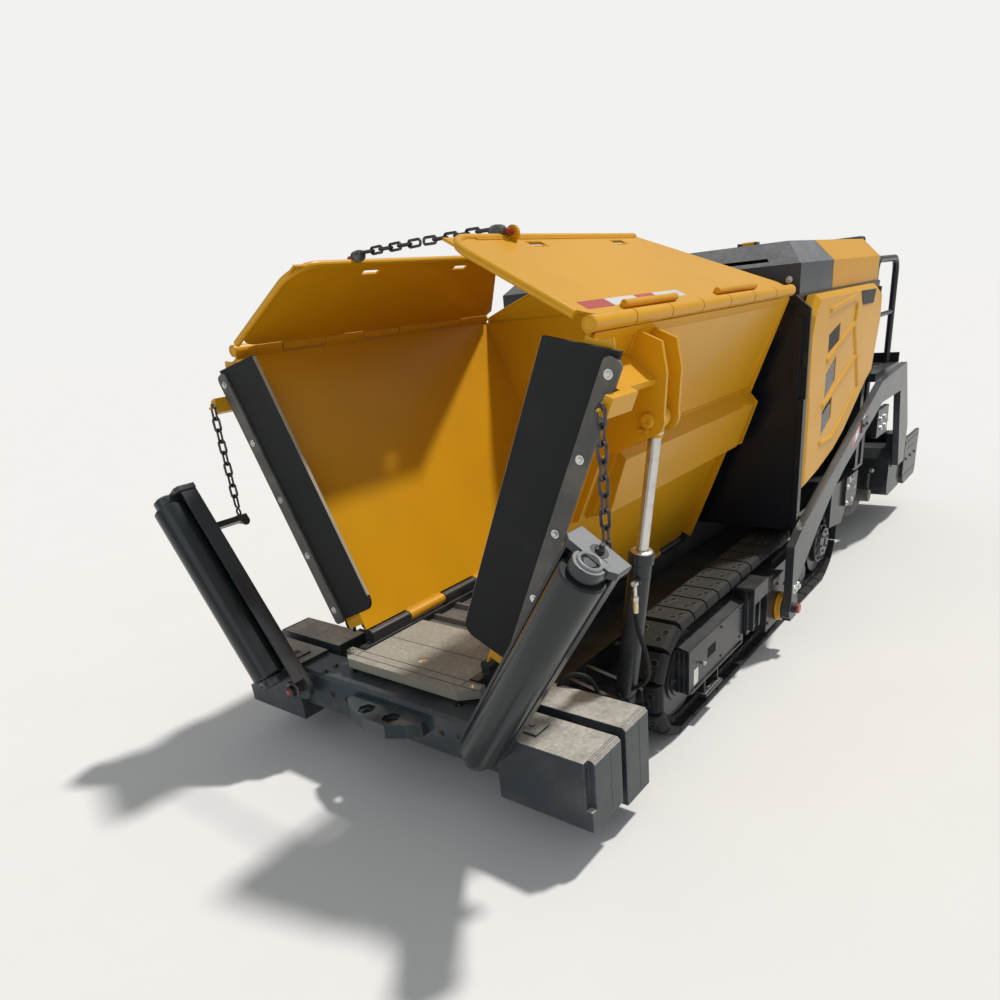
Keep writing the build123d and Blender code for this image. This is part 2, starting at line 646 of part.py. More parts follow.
bearing = 34.0
bearing_radius = 50.0
arm_top = roller_along + roller_length + running_gap + bearing
arm_inner = -60.0
arm_outer = 102.0
flange = 10.0
outer_flange = 22.0
inner_flange = 46.0
cap_plate = 16.0
roller_turn = (0, 90 - roller_lean, 0)
journal_radius = 20.0
bearing_places = (roller_along - running_gap - bearing, arm_top - bearing)
with BuildPart() as push_arm:
    arm_section(arm_front, arm_plate, [(0, -arm_boss_radius), (0, arm_boss_radius), (70, arm_outer),
                                       (arm_top, arm_outer), (arm_top, arm_inner)])
    lengthbar((arm_pivot_x, arm_front + arm_plate / 2, arm_pivot_z), arm_boss_radius, arm_plate)
    arm_section(arm_front - outer_flange, outer_flange + bite, [(70, arm_outer - flange),
                                                                (arm_top, arm_outer - flange),
                                                                (arm_top, arm_outer), (70, arm_outer)])
    arm_section(arm_front - inner_flange, inner_flange + bite, [(20, arm_inner), (arm_top, arm_inner),
                                                                (arm_top, arm_inner + flange),
                                                                (20, arm_inner + flange)])
    for s in bearing_places:
        arm_section(roller_y, arm_front - roller_y + bite,
                    [(s, roller_out - bearing_radius), (s + bearing, roller_out - bearing_radius),
                     (s + bearing, roller_out + bearing_radius), (s, roller_out + bearing_radius)])
        with Locations(Location(on_arm(s + bearing / 2, roller_out), roller_turn)):
            Cylinder(bearing_radius, bearing)
    cap = Plane(origin=(arm_pivot_x, 0, arm_pivot_z), x_dir=(0, -1, 0), z_dir=arm_tilt)
    extrude(outline(cap.offset(arm_top - cap_plate), [(-arm_rear, arm_inner - 6),
                                                      (-arm_front + 50, arm_inner - 6),
                                                      (-arm_front + 66, arm_inner + 12),
                                                      (-arm_front + 66, arm_outer - 10),
                                                      (-arm_front + 44, arm_outer + 12),
                                                      (-arm_rear, arm_outer + 12)]), amount=cap_plate + 6)
    arm_section(arm_rear - bite, chain_y + 15 + bite - arm_rear,
                [(775, -15), (800, -15), (800, 20), (775, 20)])
    for s in bearing_places:
        with Locations(Location(on_arm(s + bearing / 2, roller_out), roller_turn)):
            Cylinder(journal_radius + pin_play, bearing + 2, mode=Mode.SUBTRACT)
    lengthbar((arm_pivot_x, arm_front, arm_pivot_z), arm_pin_radius + pin_play, 4 * arm_plate,
              mode=Mode.SUBTRACT)
save_pair(push_arm.part, "push_arm")

with BuildPart() as push_roller:
    roller_plane = Plane(origin=on_arm(roller_along, roller_out), x_dir=arm_tilt, z_dir=(0, -1, 0))
    journal_end = running_gap + bearing
    half = outline(roller_plane, [(-journal_end, 0), (-journal_end, journal_radius), (0, journal_radius),
                                  (0, roller_radius - 6), (6, roller_radius),
                                  (roller_length - 6, roller_radius), (roller_length, roller_radius - 6),
                                  (roller_length, journal_radius),
                                  (roller_length + journal_end, journal_radius),
                                  (roller_length + journal_end, 0)])
    revolve(half, axis=Axis(on_arm(roller_along, roller_out), arm_tilt))
save_pair(push_roller.part, "push_roller")

# tractor body: front wall, deck, rear wall and rails round the engine bay
bay_half_width = body_half_width - door_thickness - running_gap
rail_size = 60.0
with BuildPart() as front_wall:
    extrude(outline(across(body_front), [(-body_half_width, body_floor_z), (body_half_width, body_floor_z),
                                         (body_half_width, body_top_z - shoulder_drop),
                                         (body_half_width - shoulder_in, body_top_z),
                                         (-body_half_width + shoulder_in, body_top_z),
                                         (-body_half_width, body_top_z - shoulder_drop)]),
            amount=-wall_thickness)
    slab((-trough_outer - seat_gap, trough_outer + seat_gap), (body_front - 5,
                                                               body_front + wall_thickness + 5),
         (body_floor_z - 5, tunnel_top + seat_gap), mode=Mode.SUBTRACT)
    # the upright edge strips, stepped as the doors' front edges are
    for side in (-1, 1):
        low = sorted((side * (body_half_width - 26), side * body_half_width))
        slab(low, (body_front - 24, body_front + bite), (body_floor_z - 30, 1229))
        high = sorted((side * (body_half_width - 60), side * (body_half_width - 30)))
        slab(high, (body_front - 16, body_front + bite), (1229, body_top_z - shoulder_drop - 30))
save(front_wall.part, "front_wall")

bay_front = body_front + wall_thickness + seat_gap
door_pin_x = body_half_width - door_thickness / 2
door_pin_y = body_front + 0.894 * body_length
door_pin_radius = 8.0
door_hinge_z = (1490.0, 1650.0)
guard_plate = 18.0
with BuildPart() as body_deck:
    for side in (-1, 1):
        edges = sorted((side * (trough_outer + seat_gap), side * bay_half_width))
        slab(edges, (bay_front, body_rear), (body_floor_z, body_floor_z + wall_thickness))
        edges = sorted((side * (bay_half_width - rail_size), side * bay_half_width))
        slab(edges, (bay_front, body_rear), (body_top_z - rail_size, body_top_z))
        for y in (bay_front, body_rear - rail_size):
            slab(edges, (y, y + rail_size), (body_floor_z, body_top_z))
        slab(edges, (door_pin_y - 30, door_pin_y + 30), (body_floor_z, body_top_z))
        for z in door_hinge_z:
            near = sorted((side * (bay_half_width - 10), side * (door_pin_x + 12)))
            slab(near, (door_pin_y - 12, door_pin_y + 12), (z - 24, z))
        with Locations((side * door_pin_x, door_pin_y, sum(door_hinge_z) / 2 - 12)):
            Cylinder(door_pin_radius, door_hinge_z[1] - door_hinge_z[0])
        # side guards over the drive: front and rear from the drive's centre, low z, outwards
        for front, rear, low, out in ((-60, 250, 330, 14), (180, 420, 400, 32)):
            extrude(outline(along(side * (bay_half_width + out) - (guard_plate if side > 0 else 0)),
                            [(sprocket_y + front, body_floor_z + wall_thickness),
                             (sprocket_y + front, low + 40), (sprocket_y + rear - 60, low),
                             (sprocket_y + rear, low + 60), (sprocket_y + rear,
                                                             body_floor_z + wall_thickness)]),
                    amount=guard_plate)
        join = sorted((side * (bay_half_width - 30), side * (bay_half_width + 30)))
        slab(join, (sprocket_y + 190, sprocket_y + 400), (body_floor_z, body_floor_z + wall_thickness))
    slab((-bay_half_width, bay_half_width), (body_rear - wall_thickness, body_rear),
         (body_floor_z, body_top_z))
    slab((-trough_outer - seat_gap, trough_outer + seat_gap), (body_rear - wall_thickness - 5,
                                                               body_rear + 5),
         (body_floor_z - 5, tunnel_top + seat_gap), mode=Mode.SUBTRACT)
save(body_deck.part, "body_deck")

engine_half_width = 300.0
engine_top_z = 1450.0
with BuildPart() as engine:
    slab((-engine_half_width, engine_half_width), (body_front + 0.17 * body_length,
                                                   body_front + 0.77 * body_length),
         (tunnel_top + seat_gap, engine_top_z))
    chamfer(engine.edges().group_by(Axis.Z)[-1], 60)
save(engine.part, "engine_block")

# hoods: a grey one over the front, a yellow one behind it, hinged at its front top edge
hood_front_y = body_front + 80.0
hood_split = body_front + 0.387 * body_length
hood_bevel = 100.0
hood_base_z = body_top_z + seat_gap
hood_hinge_x = (-420.0, 420.0)
hood_hinge_length = 100.0
hood_lug = 12.0
hood_pin_radius = 7.0
hood_axis_y = hood_split + running_gap / 2
hood_axis_z = hood_top_z + 16.0
hood_slope = 120.0


def hood_outline(inset):
    half = hood_half_width - inset
    top = hood_top_z - inset
    low = hood_base_z - (1 if inset else 0)
    return [(-half, low), (-half, top - hood_bevel), (-half + hood_bevel, top),
            (half - hood_bevel, top), (half, top - hood_bevel), (half, low)]


with BuildPart() as hood_front:
    extrude(outline(across(hood_front_y), hood_outline(0)), amount=hood_front_y - hood_split)
    extrude(outline(along(-hood_half_width), [(hood_front_y - 1, hood_top_z - hood_bevel),
                                              (hood_front_y + hood_slope, hood_top_z + 1),
                                              (hood_front_y - 1, hood_top_z + 1)]),
            amount=2 * hood_half_width, mode=Mode.SUBTRACT)
    extrude(outline(across(hood_front_y + wall_thickness), hood_outline(plate + hood_bevel * 0.6)),
            amount=hood_front_y - hood_split + 2 * wall_thickness, mode=Mode.SUBTRACT)
    for x in hood_hinge_x:
        crossbar((x, hood_axis_y, hood_axis_z), hood_pin_radius, hood_hinge_length)
        for end in (x - hood_hinge_length / 2, x + hood_hinge_length / 2 - hood_lug):
            slab((end, end + hood_lug), (hood_axis_y - 40, hood_split - 1),
                 (hood_top_z - 4, hood_axis_z + 8))
            slab((end, end + hood_lug), (hood_split - bite, hood_axis_y + 8),
                 (hood_top_z + 3, hood_axis_z + 8))
save(hood_front.part, "hood_front")

with BuildPart() as hood_rear:
    extrude(outline(across(hood_split + running_gap), hood_outline(0)),
            amount=hood_split + running_gap - body_rear)
    extrude(outline(across(hood_split + running_gap + plate), hood_outline(plate)),
            amount=hood_split + running_gap + 2 * plate - body_rear, mode=Mode.SUBTRACT)
    for x in hood_hinge_x:
        crossbar((x, hood_axis_y, hood_axis_z), hood_pin_radius + 5, hood_hinge_length - 26)
        crossbar((x, hood_axis_y, hood_axis_z), hood_pin_radius + pin_play, hood_hinge_length,
                 mode=Mode.SUBTRACT)
        slab((x - 30, x + 30), (hood_axis_y + hood_pin_radius + 2, hood_axis_y + 50),
             (hood_top_z - 4, hood_axis_z))
save(hood_rear.part, "hood_rear")

# side doors, hinged at their rear edges: a moulded panel with slanted vents between raised ribs
# door outline: share of the body's length behind the front wall, height
door_outline = [(0.017, 775), (0.184, 812), (0.353, 868), (0.473, 934), (0.728, 1144), (0.811, 1192),
                (0.881, 1474), (0.874, 1620), (0.787, 1672), (0.087, 1672), (0.04, 1592), (0.017, 1500)]
door_bevel = 24.0
door_return = 70.0
# vents from the top one down: front share, rear share, low z and top z at the front, rise to the rear
vents = [(0.205, 0.325, 1395, 1480, 44), (0.2, 0.305, 1180, 1300, 70), (0.185, 0.29, 1000, 1120, 70)]
vent_depth = 30.0


def door_points(table):
    return [(body_front + share * body_length, z) for share, z in table]


with BuildPart() as door:
    extrude(outline(along(body_half_width - door_thickness), door_points(door_outline)),
            amount=door_thickness)
    outer_face = door.faces().sort_by(Axis.X)[-1]
    chamfer(outer_face.edges(), door_bevel)
    # the front return: a facet over the lower half of the front edge
    extrude(outline(Plane.XY.offset(body_floor_z), [(body_half_width - 26, body_front),
                                                    (body_half_width + 1, body_front),
                                                    (body_half_width + 1, body_front + door_return)]),
            amount=1229 - body_floor_z, mode=Mode.SUBTRACT)
    for front, rear, low, top, rise in vents:
        opening = door_points([(front, low), (rear, low + rise), (rear, top + rise), (front, top)])
        extrude(outline(along(body_half_width + 1), opening), amount=-vent_depth, mode=Mode.SUBTRACT)
        step = (top - low) / 6
        for i in range(1, 6):
            slat = door_points([(front, low + i * step - 4), (rear, low + rise + i * step - 4),
                                (rear, low + rise + i * step + 4), (front, low + i * step + 4)])
            extrude(outline(along(body_half_width - vent_depth - bite), slat), amount=vent_depth - 8)
    tube_low = door_hinge_z[0] + 1
    tube_high = door_hinge_z[1] - 25
    slab((door_pin_x - 8, door_pin_x + 8), (door_pin_y - 50, door_pin_y), (tube_low, tube_high))
    with Locations((door_pin_x, door_pin_y, (tube_low + tube_high) / 2)):
        Cylinder(14, tube_high - tube_low)
        Cylinder(door_pin_radius + pin_play, tube_high - tube_low + 2, mode=Mode.SUBTRACT)
save_pair(door.part, "side_door")

# operator platform behind the engine bay, with a guard rail on each side
platform_z = 1150.0
platform_length = 620.0
platform_rear = body_rear + platform_length
platform_half_width = body_half_width - 40.0
rail_radius = 20.0
rail_height = 640.0
rail_x = body_half_width - 110.0
rail_front = body_rear + 60.0
rail_rear = platform_rear - 40.0
with BuildPart() as rail:
    with BuildLine() as rail_path:
        FilletPolyline((rail_x, rail_front, platform_z - 10), (rail_x, rail_front,
                                                               platform_z + rail_height),
                       (rail_x, rail_rear, platform_z + rail_height), (rail_x, rail_rear, platform_z - 10),
                       radius=80)
    with BuildSketch(Plane(origin=(rail_x, rail_front, platform_z - 10), z_dir=(0, 0, 1))):
        RegularPolygon(rail_radius, 10)
    sweep(path=rail_path.wires()[0])
    lengthbar((rail_x, (rail_front + rail_rear) / 2, platform_z + rail_height / 2), rail_radius * 0.7,
              rail_rear - rail_front)
with BuildPart() as platform:
    slab((-platform_half_width, platform_half_width), (body_rear + seat_gap, platform_rear),
         (platform_z - 50, platform_z))
    slab((-platform_half_width, platform_half_width), (platform_rear - 12, platform_rear),
         (platform_z - 90, platform_z + 60))
    for side in (-1, 1):
        edge = side * 530 - 30
        extrude(outline(along(edge), [(body_rear + seat_gap, platform_z - 300),
                                      (body_rear + 60, platform_z - 300),
                                      (platform_rear - 100, platform_z - 110),
                                      (platform_rear - 100, platform_z - 50 + bite),
                                      (body_rear + seat_gap, platform_z - 50 + bite)]), amount=60)
    add(rail.part)
    add(mirror(rail.part, about=Plane.YZ))
save(platform.part, "platform")

# control console: a stand with a sloping panel
console_half_width = 520.0
console_y = body_rear + 30.0
with BuildPart() as console:
    extrude(outline(along(-console_half_width), [(console_y, platform_z + seat_gap),
                                                 (console_y + 120, platform_z + seat_gap),
                                                 (console_y + 120, platform_z + 430),
                                                 (console_y + 190, platform_z + 520),
                                                 (console_y + 60, platform_z + 620),
                                                 (console_y, platform_z + 600)]),
            amount=2 * console_half_width)
    chamfer(console.edges().filter_by(Axis.Z), 16)
save(console.part, "console")

# two seats on one slide rail
seat_x = 420.0
seat_half_width = 230.0
seat_y = body_rear + 420.0
with BuildPart() as seats:
    slab((-seat_x - 150, seat_x + 150), (seat_y - 40, seat_y + 40),
         (platform_z + seat_gap, platform_z + 60))
    for side in (-1, 1):
        with Locations((side * seat_x, seat_y, platform_z + 200)):
            Cylinder(60, 310)
        low = side * seat_x - seat_half_width
        extrude(outline(along(low), [(seat_y - 190, platform_z + 380), (seat_y - 150, platform_z + 350),
                                     (seat_y + 140, platform_z + 350), (seat_y + 140, platform_z + 440),
                                     (seat_y - 160, platform_z + 450), (seat_y - 190, platform_z + 430)]),
                amount=2 * seat_half_width)
        extrude(outline(along(low + 10), [(seat_y + 100, platform_z + 400),
                                          (seat_y + 150, platform_z + 400),
                                          (seat_y + 170, platform_z + 760),
                                          (seat_y + 150, platform_z + 800),
                                          (seat_y + 120, platform_z + 790)]),
                amount=2 * seat_half_width - 20)
save(seats.part, "seats")

# screed lift frame: the two tow arms, on their pins at the tractor's sides
screed_plate_z = 255.0
screed_height = 330.0
screed_top_z = screed_plate_z + screed_height
screed_depth = 380.0
arm_top_z = 1000.0
# tow arm from its front foot round its lower edge and back along its straight top: share of reach, height
arm_outline = [(-0.018, 170), (0.026, 170), (0.024, 362), (0.067, 420), (0.16, 552), (0.27, 690),
               (0.366, 775), (0.716, arm_top_z), (0.94, arm_top_z), (1.03, 470), (1.11, 470), (1.11, 720),
               (0.99, 1165), (0.691, 1128), (0.029, 620), (-0.018, 560)]
with BuildPart() as tow_arm:
    extrude(outline(along(arm_inner_x), [(tow_pin_y + share * arm_reach, z) for share, z in arm_outline]),
            amount=arm_thickness)
    crossbar((arm_inner_x + arm_thickness / 2, tow_pin_y, tow_pin_z), 62, arm_thickness)
    crossbar((arm_outer_x, tow_pin_y, tow_pin_z), tow_pin_radius + pin_play, 200, mode=Mode.SUBTRACT)
save_pair(tow_arm.part, "tow_arm")

# screed: centre section on the tow arms, with the guide tube of the two extensions on top
guide_radius = 28.0
guide_wall = 14.0
guide_y = screed_front + 300.0
guide_z = screed_top_z + guide_radius + guide_wall - 6
guide_half = arm_inner_x - 70.0
extension_front = screed_front + screed_depth + running_gap
with BuildPart() as screed:
    extrude(outline(along(-screed_half_width), [(screed_front, screed_plate_z + 70),
                                                (screed_front + 18, screed_plate_z + 22),
                                                (screed_front + 60, screed_plate_z),
                                                (screed_front + screed_depth, screed_plate_z),
                                                (screed_front + screed_depth, screed_top_z - 20),
                                                (screed_front + screed_depth - 20, screed_top_z),
                                                (screed_front + 60, screed_top_z),
                                                (screed_front, screed_top_z - 60)]),
            amount=2 * screed_half_width)
    for side in (-1, 1):
        edges = sorted((side * (arm_inner_x - seat_gap), side * (arm_inner_x - 50)))
        slab(edges, (screed_front + 60, screed_front + 200), (screed_plate_z + 200, screed_top_z + 100))
    crossbar((0, guide_y, guide_z), guide_radius + guide_wall, 2 * guide_half)
    slab((-guide_half, guide_half), (guide_y - 30, guide_y + 30), (screed_top_z, guide_z))
    crossbar((0, guide_y, guide_z), guide_radius + pin_play, 2 * guide_half + 10, mode=Mode.SUBTRACT)
save(screed.part, "screed")

extension_height = 280.0
end_gate = 20.0
bracket = 40.0
bracket_x = guide_half + running_gap
with BuildPart() as extension:
    extrude(outline(along(10), [(extension_front, screed_plate_z + 40),
                                (extension_front + 40, screed_plate_z), (rear_end - 30, screed_plate_z),
                                (rear_end, screed_plate_z + 20),
                                (rear_end, screed_plate_z + extension_height - 40),
                                (rear_end - 40, screed_plate_z + extension_height),
                                (extension_front, screed_plate_z + extension_height)]),
            amount=screed_half_width - 10)
    extrude(outline(along(screed_half_width - bite), [(extension_front, screed_plate_z + 60),
                                                      (extension_front + 70, screed_plate_z - 10),
                                                      (rear_end - 30, screed_plate_z - 10),
                                                      (rear_end, screed_plate_z + 20),
                                                      (rear_end, screed_plate_z + screed_height),
                                                      (extension_front, screed_plate_z + screed_height)]),
            amount=end_gate + bite)
    crossbar(((guide_half + 50) / 2, guide_y, guide_z), guide_radius, guide_half + 10)
    slab((bracket_x, bracket_x + bracket), (guide_y - 40, extension_front + 30),
         (screed_top_z + running_gap, guide_z + 40))
    slab((bracket_x, bracket_x + bracket), (extension_front, extension_front + 60),
         (screed_plate_z + extension_height - bite, guide_z + 40))
save_pair(extension.part, "screed_extension")

# augers: one helical flight each side of the drive case, and the carriage that holds them
case_half_width = 60.0
flight_pitch = 220.0
flight_thickness = 12.0
flight_facets = 16
auger_shaft = 40.0
auger_stub = 30.0
carriage_low = 760.0
carriage_top = 840.0
with BuildPart() as auger_case:
    extrude(outline(across(auger_y - 80), [(-case_half_width, auger_z - 60),
                                           (-case_half_width + 30, auger_z - 90),
                                           (case_half_width - 30, auger_z - 90),
                                           (case_half_width, auger_z - 60), (case_half_width, carriage_top),
                                           (-case_half_width, carriage_top)]), amount=-160)
    slab((-auger_half_length, auger_half_length), (auger_y - 60, auger_y + 60),
         (carriage_low, carriage_top))
    slab((-trough_outer, trough_outer), (body_rear + seat_gap, auger_y), (carriage_low + 20, carriage_top))
    crossbar((0, auger_y, auger_z), auger_stub + pin_play, 2 * case_half_width + 10, mode=Mode.SUBTRACT)
save(auger_case.part, "auger_carrier")

flight_start = case_half_width + 30.0
flight_length = auger_half_length - flight_start - 20


def helical_flight():
    """The flight, wound about Z from the origin upwards in flat facets between radial edges."""
    root = auger_shaft - 4
    rise = Vector(0, 0, flight_pitch / flight_facets)
    depth = Vector(0, 0, flight_thickness)
    edges = []
    for i in range(round(flight_length / rise.Z) + 1):
        turn = radians(360 * i / flight_facets)
        inner = Vector(cos(turn), sin(turn), 0) * root + rise * i
        outer = Vector(cos(turn), sin(turn), 0) * auger_radius + rise * i
        edges.append([inner, outer, outer + depth, inner + depth])
    facets = [Face(Wire.make_polygon(edges[0])), Face(Wire.make_polygon(edges[-1]))]
    for here, following in zip(edges, edges[1:]):
        for i in range(4):
            corner = (i + 1) % 4
            facets.append(Face(Wire.make_polygon([here[i], here[corner], following[corner]])))
            facets.append(Face(Wire.make_polygon([here[i], following[corner], following[i]])))
    return Solid(Shell(facets))


with BuildPart() as auger:
    crossbar(((case_half_width + running_gap + auger_half_length) / 2, auger_y, auger_z), auger_shaft,
             auger_half_length - case_half_width - running_gap)
    crossbar((case_half_width - 10, auger_y, auger_z), auger_stub, case_half_width)
    add(helical_flight().moved(Location((flight_start, auger_y, auger_z), (0, 90, 0))))
save_pair(auger.part, "auger")

# hanging chains: from a lug on each wing's front down to the lug on the push arm
link_wire = 9.0
link_length = 52.0
link_width = 30.0
link_pitch = link_length - 2 * link_wire - seat_gap


def link_outline(inset):
    """An eight-sided oval."""
    half = link_length / 2 - inset
    side = link_width / 2 - inset
    corner = side * 0.6
    return [(half, -side + corner), (half, side - corner), (half - corner, side), (-half + corner, side),
            (-half, side - corner), (-half, -side + corner), (-half + corner, -side),
            (half - corner, -side)]


def links(start, direction, count):
    """A straight run of links; every other one is turned by a quarter."""
    along_run = Vector(*direction)
    flat = Vector(0, 1, 0)
    for i in range(count):
        centre = Vector(*start) + along_run * (link_pitch * i)
        normal = flat if i % 2 == 0 else flat.cross(along_run)
        plane = Plane(origin=centre, x_dir=along_run, z_dir=normal)
        extrude(outline(plane, link_outline(0)), amount=link_wire / 2, both=True)
        extrude(outline(plane, link_outline(link_wire)), amount=link_wire, both=True, mode=Mode.SUBTRACT)


chain_links = 13
chain_top = (chain_x, chain_y, chain_pin_z - link_length / 2 + link_wire + chain_pin_radius + 1)
with BuildPart() as hang_chain:
    links(chain_top, (0, 0, -1), chain_links)
save_pair(hang_chain.part, "hang_chain")

# chain between the flaps, in two halves that meet in the middle, each with its hook in the flap's lug
flap_chain_z = 2008.0
flap_chain_links = 9
hook_start = link_pitch * flap_chain_links + 20
hook_end = lug_spot.X + 8
peg_z = lug_spot.Z + lug_hole_rise
with BuildPart() as flap_chain:
    links((link_length / 2 + 3, flap_chain_y, flap_chain_z), (1, 0, 0), flap_chain_links)
    slab((hook_start, hook_start + 46), (flap_chain_y - 16, flap_chain_y + 16),
         (flap_chain_z - 16, flap_chain_z + 16))
    slab((hook_start + 40, hook_end), (flap_chain_y - 6, flap_chain_y + 10), (peg_z - 3, peg_z + 9))
    lengthbar((lug_spot.X, flap_chain_y + 20, peg_z), lug_hole - 1, 38)
save_pair(flap_chain.part, "flap_chain")
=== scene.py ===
import json
import math

import bmesh
import bpy
from mathutils import Matrix, Vector


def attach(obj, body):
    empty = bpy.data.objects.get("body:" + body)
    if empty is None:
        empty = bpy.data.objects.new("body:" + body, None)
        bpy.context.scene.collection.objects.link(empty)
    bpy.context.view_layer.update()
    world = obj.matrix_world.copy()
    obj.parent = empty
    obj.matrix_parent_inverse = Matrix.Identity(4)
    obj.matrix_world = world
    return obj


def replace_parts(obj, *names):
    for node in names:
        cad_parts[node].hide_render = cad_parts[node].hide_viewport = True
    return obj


bl_info = {
    "name": "Asphalt paver looks",
    "version": (1, 0, 0),
    "blender": (4, 5, 0),
    "location": "View3D > Sidebar > Paver",
    "description": "Dresses the packed paver with its finishes and fine parts",
    "category": "Object",
}

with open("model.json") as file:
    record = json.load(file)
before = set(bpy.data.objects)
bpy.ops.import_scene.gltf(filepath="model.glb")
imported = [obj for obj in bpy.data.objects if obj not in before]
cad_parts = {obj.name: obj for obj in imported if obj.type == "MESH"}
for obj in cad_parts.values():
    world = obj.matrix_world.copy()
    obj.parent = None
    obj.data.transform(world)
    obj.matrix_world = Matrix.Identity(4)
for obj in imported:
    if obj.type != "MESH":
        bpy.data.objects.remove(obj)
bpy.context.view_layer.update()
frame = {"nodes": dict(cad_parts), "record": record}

# places on the machine, in metres, as the CAD source has them
FRONT = -2.066
WING_LENGTH = 1.68
SIDES = ("left", "right")
SHARED_BODIES = ("tractor", "lift_frame", "hood_body")
X, Y, Z = Vector((1, 0, 0)), Vector((0, 1, 0)), Vector((0, 0, 1))
UP_WING = Vector((0.410, 0, 0.912))
OUT_WING = Vector((0.912, 0, -0.410))
UP_ARM = Vector((0.5402, 0, 0.8415))
OUT_ARM = Vector((0.8415, 0, -0.5402))
ALONG_FLAP = Vector((-0.8829, 0, 0.4695))
OVER_FLAP = Vector((0.4695, 0, 0.8829))
BARREL_AXIS = Vector((0.1411, 0, 0.99))
BARREL_Y = FRONT + 0.348
TRACK_X = 0.7455
IDLER_Y = -1.3705
SPROCKET_Y = 0.5495
TRACK_Z = 0.2655
SHOE_PITCH = 0.128
PLATFORM_Z = 1.15
SIDE_BOX_X = 0.870
TOW_ARM_X = 0.975
TOW_PIVOT = (-0.426, 0.23)
DOOR_X = 0.930
HANG_Y = -0.1
FLAP_CHAIN_Y = 0.3

# the stage: size of the floor, sky for the machine and for the camera, and the suns
FLOOR_SIZE = 60
SKY, SKY_STRENGTH = (0.95, 0.98, 1.0, 1), 0.36
BACKDROP = (0.885, 0.885, 0.875, 1)
SUNS = (  # name, direction towards it, strength, width in degrees, colour
    ("key", (0.20, 0.45, 0.85), 2.9, 4.0, (1.0, 0.97, 0.92)),
    ("fill", (0.2, -0.8, 0.55), 0.30, 40.0, (0.9, 0.95, 1.0)),
)

# the camera as fitted to the photo, its place from the hopper's front
CAMERA_SPOT = (2.0303, -1.8954, 1.789)
CAMERA_RIGHT = Vector((0.78822, 0.60759, -0.09770))
CAMERA_UP = Vector((-0.17411, 0.37245, 0.91157))
CAMERA_SENSOR, CAMERA_LENS, CAMERA_SHIFT = 36.0, 26.58, (-0.0022, 0.1234)
CAMERA_REACH = 1000.0

# how meshes are finished: vertices closer than this are one, and flatter edges are shaded smooth
MERGE_DISTANCE = 1e-6
SMOOTH_ANGLE = 0.6
BEVEL_ANGLE = 0.7


def at(x, y, z):
    """A spot on the machine, y from the hopper's front."""
    return Vector((x, FRONT + y, z))


def on_wing(up, out, y):
    """A spot on the left wing: up its slant, out of its outer face, y from the hopper's front."""
    return at(0.325, y, 0.505) + UP_WING * up + OUT_WING * out


def on_arm(up, out, y):
    """A spot on the left push roller arm, y from the hopper's front."""
    return at(0.497, y, 0.349) + UP_ARM * up + OUT_ARM * out


def on_flap(along, y, over):
    """A spot on the left top flap: from its hinge towards its free edge, and above its sheet."""
    return at(0.864, y, 1.7044) + ALONG_FLAP * along + OVER_FLAP * (0.008 + over)


def on_door(y, z, proud):
    """A spot on the left side door, y from the hopper's front, proud of its outer face."""
    return at(DOOR_X + proud, y, z)


def on_barrel(along, ahead=0.0, out=0.0):
    """A spot by the left wing cylinder: along its axis from the base pin, ahead of it, out of it."""
    return Vector((0.735, BARREL_Y - ahead, 0.29)) + BARREL_AXIS * along + X * out


def colour_setting(name, description, default):
    """A colour among the add-on's settings."""
    return bpy.props.FloatVectorProperty(name=name, description=description, subtype="COLOR", size=3, default=default)


def length_setting(name, description, default):
    """A length among the add-on's settings."""
    return bpy.props.FloatProperty(name=name, description=description, unit="LENGTH", default=default)


class PaverColours(bpy.types.PropertyGroup):
    """Paint and dust colours, linear."""

    yellow: colour_setting("Yellow", "Hopper, hood and doors", (0.72, 0.355, 0.006))
    charcoal: colour_setting("Charcoal", "Chassis, screed and small frames", (0.014, 0.018, 0.023))
    navy: colour_setting("Navy", "Wall behind the hopper", (0.0035, 0.0060, 0.012))
    grey: colour_setting("Grey", "Push roller arms, hood and tow arms", (0.030, 0.037, 0.044))
    dust: colour_setting("Dust", "Settled dust on faces that look up", (0.40, 0.37, 0.31))


class PaverSizes(bpy.types.PropertyGroup):
    """Sizes of what repeats, in metres."""

    clamp_bolt: length_setting("Clamp bolt", "Radius of the bolt heads on the skirt clamps", 0.0088)
    chain_wire: length_setting("Chain wire", "Radius of the chains' wire", 0.0053)
    hose: length_setting("Hose", "Radius of the hydraulic hoses", 0.009)


class Wire:
    """A value in a material; sums and products of wires add their Math nodes."""

    def __init__(self, finish, socket):
        self.finish = finish
        self.socket = socket

    def _math(self, operation, *values):
        return self.finish.node("ShaderNodeMath", {"operation": operation}, dict(enumerate(values)))

    def __add__(self, other):
        return self._math("ADD", self, other)

    def __sub__(self, other):
        return self._math("SUBTRACT", self, other)

    def __mul__(self, other):
        return self._math("MULTIPLY", self, other)

    def __rsub__(self, other):
        return self._math("SUBTRACT", other, self)

    __radd__ = __add__
    __rmul__ = __mul__

    def between(self, low, high):
        """0 below low, 1 above high, smooth in between."""
        return self.finish.node(
            "ShaderNodeMapRange", {"interpolation_type": "SMOOTHSTEP"},
            {"Value": self, "From Min": low, "From Max": high},
        )


